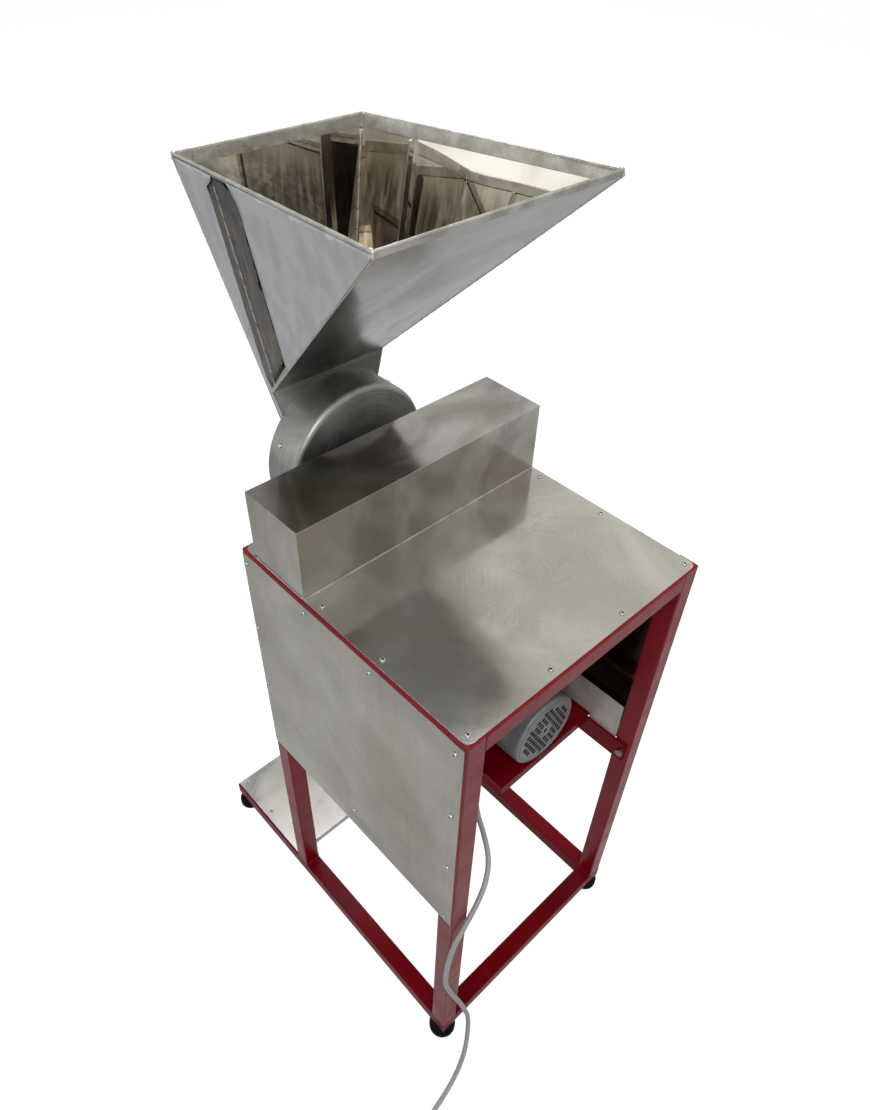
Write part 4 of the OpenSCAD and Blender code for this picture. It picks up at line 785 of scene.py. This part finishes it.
# corners (y, z) of the film and the bare band between its halves; the cuts beside the band are ragged
BAND_TOP, BAND_LOW = (-192, 1286), (-171, 1049)
FOLD = [(-156, 1314), (-170, 1305), (-178, 1297)]
BACK_LOW, BACK_TOP = (-98, 1107), (-104, 1316)
film_front = [(Y_F + 3, rim_z(Y_F) - FILM_DOWN), (-166, rim_z(-166) - FILM_DOWN), (-152, 1320.5), *FOLD, BAND_TOP,
              *rag(BAND_TOP, BAND_LOW, 14, 0.7, 1), BAND_LOW, (-170, 1000), (-170, 962),
              (-195, 962), (-207.5, 1042), (-225.5, 1180)]
film_back = [(-118, rim_z(-118) - FILM_DOWN), (Y_B - 2, rim_z(Y_B) - FILM_DOWN), (Y_B - 5, rim_z(Y_B) - 9), BACK_LOW,
             *rag(BACK_LOW, BACK_TOP, 16, 0.8, 2), BACK_TOP, (-110, 1319)]
band = [(-152, 1320), (-119, 1321.5), (-105, 1317), (-101, 1112), (-163, 1049), (-170.5, 1049), (-191.5, 1286),
        *FOLD[::-1]]
for s, tag in ((1, "left"), (-1, "right")):
    skin("film_front_" + tag, film_front, s, FILM_LIFT, film_skin, FILM_THICK, FILM_WAVE)
    skin("film_back_" + tag, film_back, s, FILM_LIFT, film_skin, FILM_THICK, FILM_WAVE)
    # the bare band's dark colour is a painted reflection
    skin("bare_band_" + tag, band, s, BAND_LIFT, band_painted_reflection, BAND_THICK)

# ---------------------------------------------------------------- weld beads of the frame
BEAD_END = 1.5                   # a bead stops this far short of the tube's edge
RAIL_GAP, BASE_GAP = 1, 2        # beads lie under the top rails, and between a base rail's top and underside
leg_lo, leg_hi = box_mm("leg_front_left")
back_lo = box_mm("leg_back_left")[0]
base_lo, base_hi = box_mm("base_rail_front")
rail_under = box_mm("top_rail_front")[0].z - RAIL_GAP
inner_x, tube_w = leg_lo.x, leg_hi.x - leg_lo.x
from_y, to_y = BEAD_END, tube_w - BEAD_END
beads = []
for s in (-1, 1):
    x = s * inner_x
    across_x = x + s * BEAD_END, x + s * (tube_w - BEAD_END)
    for y, outwards in ((leg_hi.y, -1), (back_lo.y, 1)):
        beads.append([mm(x, y, rail_under), mm(x, y + outwards * to_y, rail_under)])
        beads.append([mm(v, y, rail_under) for v in across_x])
    for y in (leg_lo.y, leg_hi.y, back_lo.y):
        beads.append([mm(v, y, base_hi.z) for v in across_x])
    for y in (back_lo.y, leg_lo.y):
        beads.append([mm(x, y + from_y, base_hi.z), mm(x, y + to_y, base_hi.z)])
    for y in (back_lo.y, base_hi.y):
        beads.append([mm(x, y, base_lo.z + BASE_GAP), mm(x, y, base_hi.z - BASE_GAP)])
swept("frame_welds", beads, 0.0019, red, 8, 0.3, 0.0016)

# ---------------------------------------------------------------- floor
FLOOR_GLOW, FLOOR_WHITE = 0.36, 0.56    # seen in reflections, and added where the camera sees it


def floor_white():
    m = Mat("floor_white")
    rays = m.node("LightPath").outputs
    camera_ray = rays["Is Camera Ray"]
    seen = m.math("MAXIMUM", m.math("MAXIMUM", camera_ray, rays["Is Glossy Ray"]), rays["Is Transmission Ray"])
    glow = m.math("ADD", m.math("MULTIPLY", seen, FLOOR_GLOW), m.math("MULTIPLY", camera_ray, FLOOR_WHITE))
    m.set(Base_Color=m.mix(m.noise(3, 2), (0.40, 0.40, 0.40), (0.43, 0.43, 0.43)), Roughness=0.9,
          Specular_IOR_Level=0.1, Emission_Color=(1, 1, 1, 1), Emission_Strength=glow)
    return m.m


bm = bmesh.new()
bmesh.ops.create_grid(bm, x_segments=2, y_segments=2, size=9)
floor = D.objects.new("floor", mesh_of("floor", bm, smooth=False))
SCENE.collection.objects.link(floor)
floor.data.materials.append(floor_white())

# ---------------------------------------------------------------- studio: white to the camera, a room in reflections
BOX_U, BOX_V, BOX_SOFT = -0.744, -0.735, 0.07      # a softbox's corner and its soft edge, in ceiling coordinates
BOX_EDGES = ((-0.248, 0.969), (-0.963, 0.269))     # directions across its two edges
BOX_COLOUR = (0.87, 0.86, 0.825)
HORIZON_TO, HORIZON_COLOUR = (0.85, -0.53), (1.45, 1.47, 1.44)
DIFFUSE_COLOUR, DIFFUSE_LEVEL = (0.97, 0.98, 1.0), 0.25


def studio():
    world = D.worlds.new("studio")
    SCENE.world = world
    world.use_nodes = True
    w = Nodes(world.node_tree, "Generated")
    x, y, z = w.split()
    zenith = w.math("MAXIMUM", z, 0.05)
    u, v = w.math("DIVIDE", x, zenith), w.math("DIVIDE", y, zenith)

    def beyond(edge):
        """0 to 1 across an edge of the softbox."""
        away = w.math("ADD", w.math("MULTIPLY", w.math("ADD", u, -BOX_U), edge[0]),
                      w.math("MULTIPLY", w.math("ADD", v, -BOX_V), edge[1]))
        return w.ramp(w.math("ADD", w.math("MULTIPLY", away, 1 / BOX_SOFT), 0.5), (0.0, 0.0), (1.0, 1.0), ease="EASE")

    # grey levels from the horizon up, in soft patches
    levels = w.ramp(z, (0.0, 0.95), (0.2, 0.9), (0.40, 0.5), (0.47, 0.85), (0.56, 0.85), (0.68, 0.44),
                    (0.85, 0.36), (1.0, 0.3))
    patches = w.ramp(w.noise(1.6, 2, 0.5, 0.4), (0.40, 0.84), (0.60, 1.1), ease="EASE")
    room = w.times(levels, patches)
    # light and dark panes overhead, towards +Y
    panes = w.ramp(w.math("MULTIPLY_ADD", u, 0.5, 0.5), (0.35, 0.35), (0.5, 0.75), (0.742, 0.75), (0.752, 0.05),
                   (0.81, 0.05), (0.87, 0.3))
    overhead = w.times(w.ramp(z, (0.78, 0.0), (0.84, 1.0)), w.ramp(v, (0.0, 0.0), (0.1, 1.0)))
    room = w.mix(overhead, room, panes)
    # a bright patch low on the horizon
    toward = w.math("ADD", w.math("MULTIPLY", x, HORIZON_TO[0]), w.math("MULTIPLY", y, HORIZON_TO[1]))
    low = w.times(w.ramp(toward, (0.86, 0.0), (0.95, 1.0)), w.ramp(z, (0.14, 1.0), (0.22, 0.0)))
    room = w.mix(low, room, HORIZON_COLOUR)
    softbox = w.times(beyond(BOX_EDGES[0]), beyond(BOX_EDGES[1]))

    def background(colour, level):
        n = w.node("Background")
        w.put(n.inputs[0], colour)
        w.put(n.inputs[1], level)
        return n.outputs[0]

    def choose(fac, a, b):
        n = w.node("MixShader")
        for socket, value in zip(n.inputs, (fac, a, b)):
            w.put(socket, value)
        return n.outputs[0]

    rays = w.node("LightPath").outputs
    reflected = w.math("MAXIMUM", rays["Is Glossy Ray"], rays["Is Transmission Ray"])
    light = choose(reflected, background((*DIFFUSE_COLOUR, 1), DIFFUSE_LEVEL),
                   background(w.mix(softbox, room, BOX_COLOUR), 1.0))
    w.put(w.node("OutputWorld").inputs[0], choose(rays["Is Camera Ray"], light, background((1, 1, 1, 1), 1.0)))


studio()


def lamp(name, place, target_z, size, power):
    data = D.lights.new(name, "AREA")
    data.shape = "RECTANGLE"
    data.size, data.size_y = size
    data.energy = power
    o = D.objects.new(name, data)
    SCENE.collection.objects.link(o)
    o.location = place
    o.rotation_euler = (Vector((0, 0, target_z)) - Vector(place)).to_track_quat("-Z", "Y").to_euler()
    return o


lamp("key", (1.5, 1.5, 3.1), 0.9, (1.4, 1.4), 40)
lamp("fill", (-2.3, 1.3, 2.5), 0.8, (1.6, 1.2), 14).visible_glossy = False
lamp("top", (-0.4, -0.9, 3.3), 0.9, (1.6, 1.2), 32)
SCENE.view_settings.view_transform = "Standard"
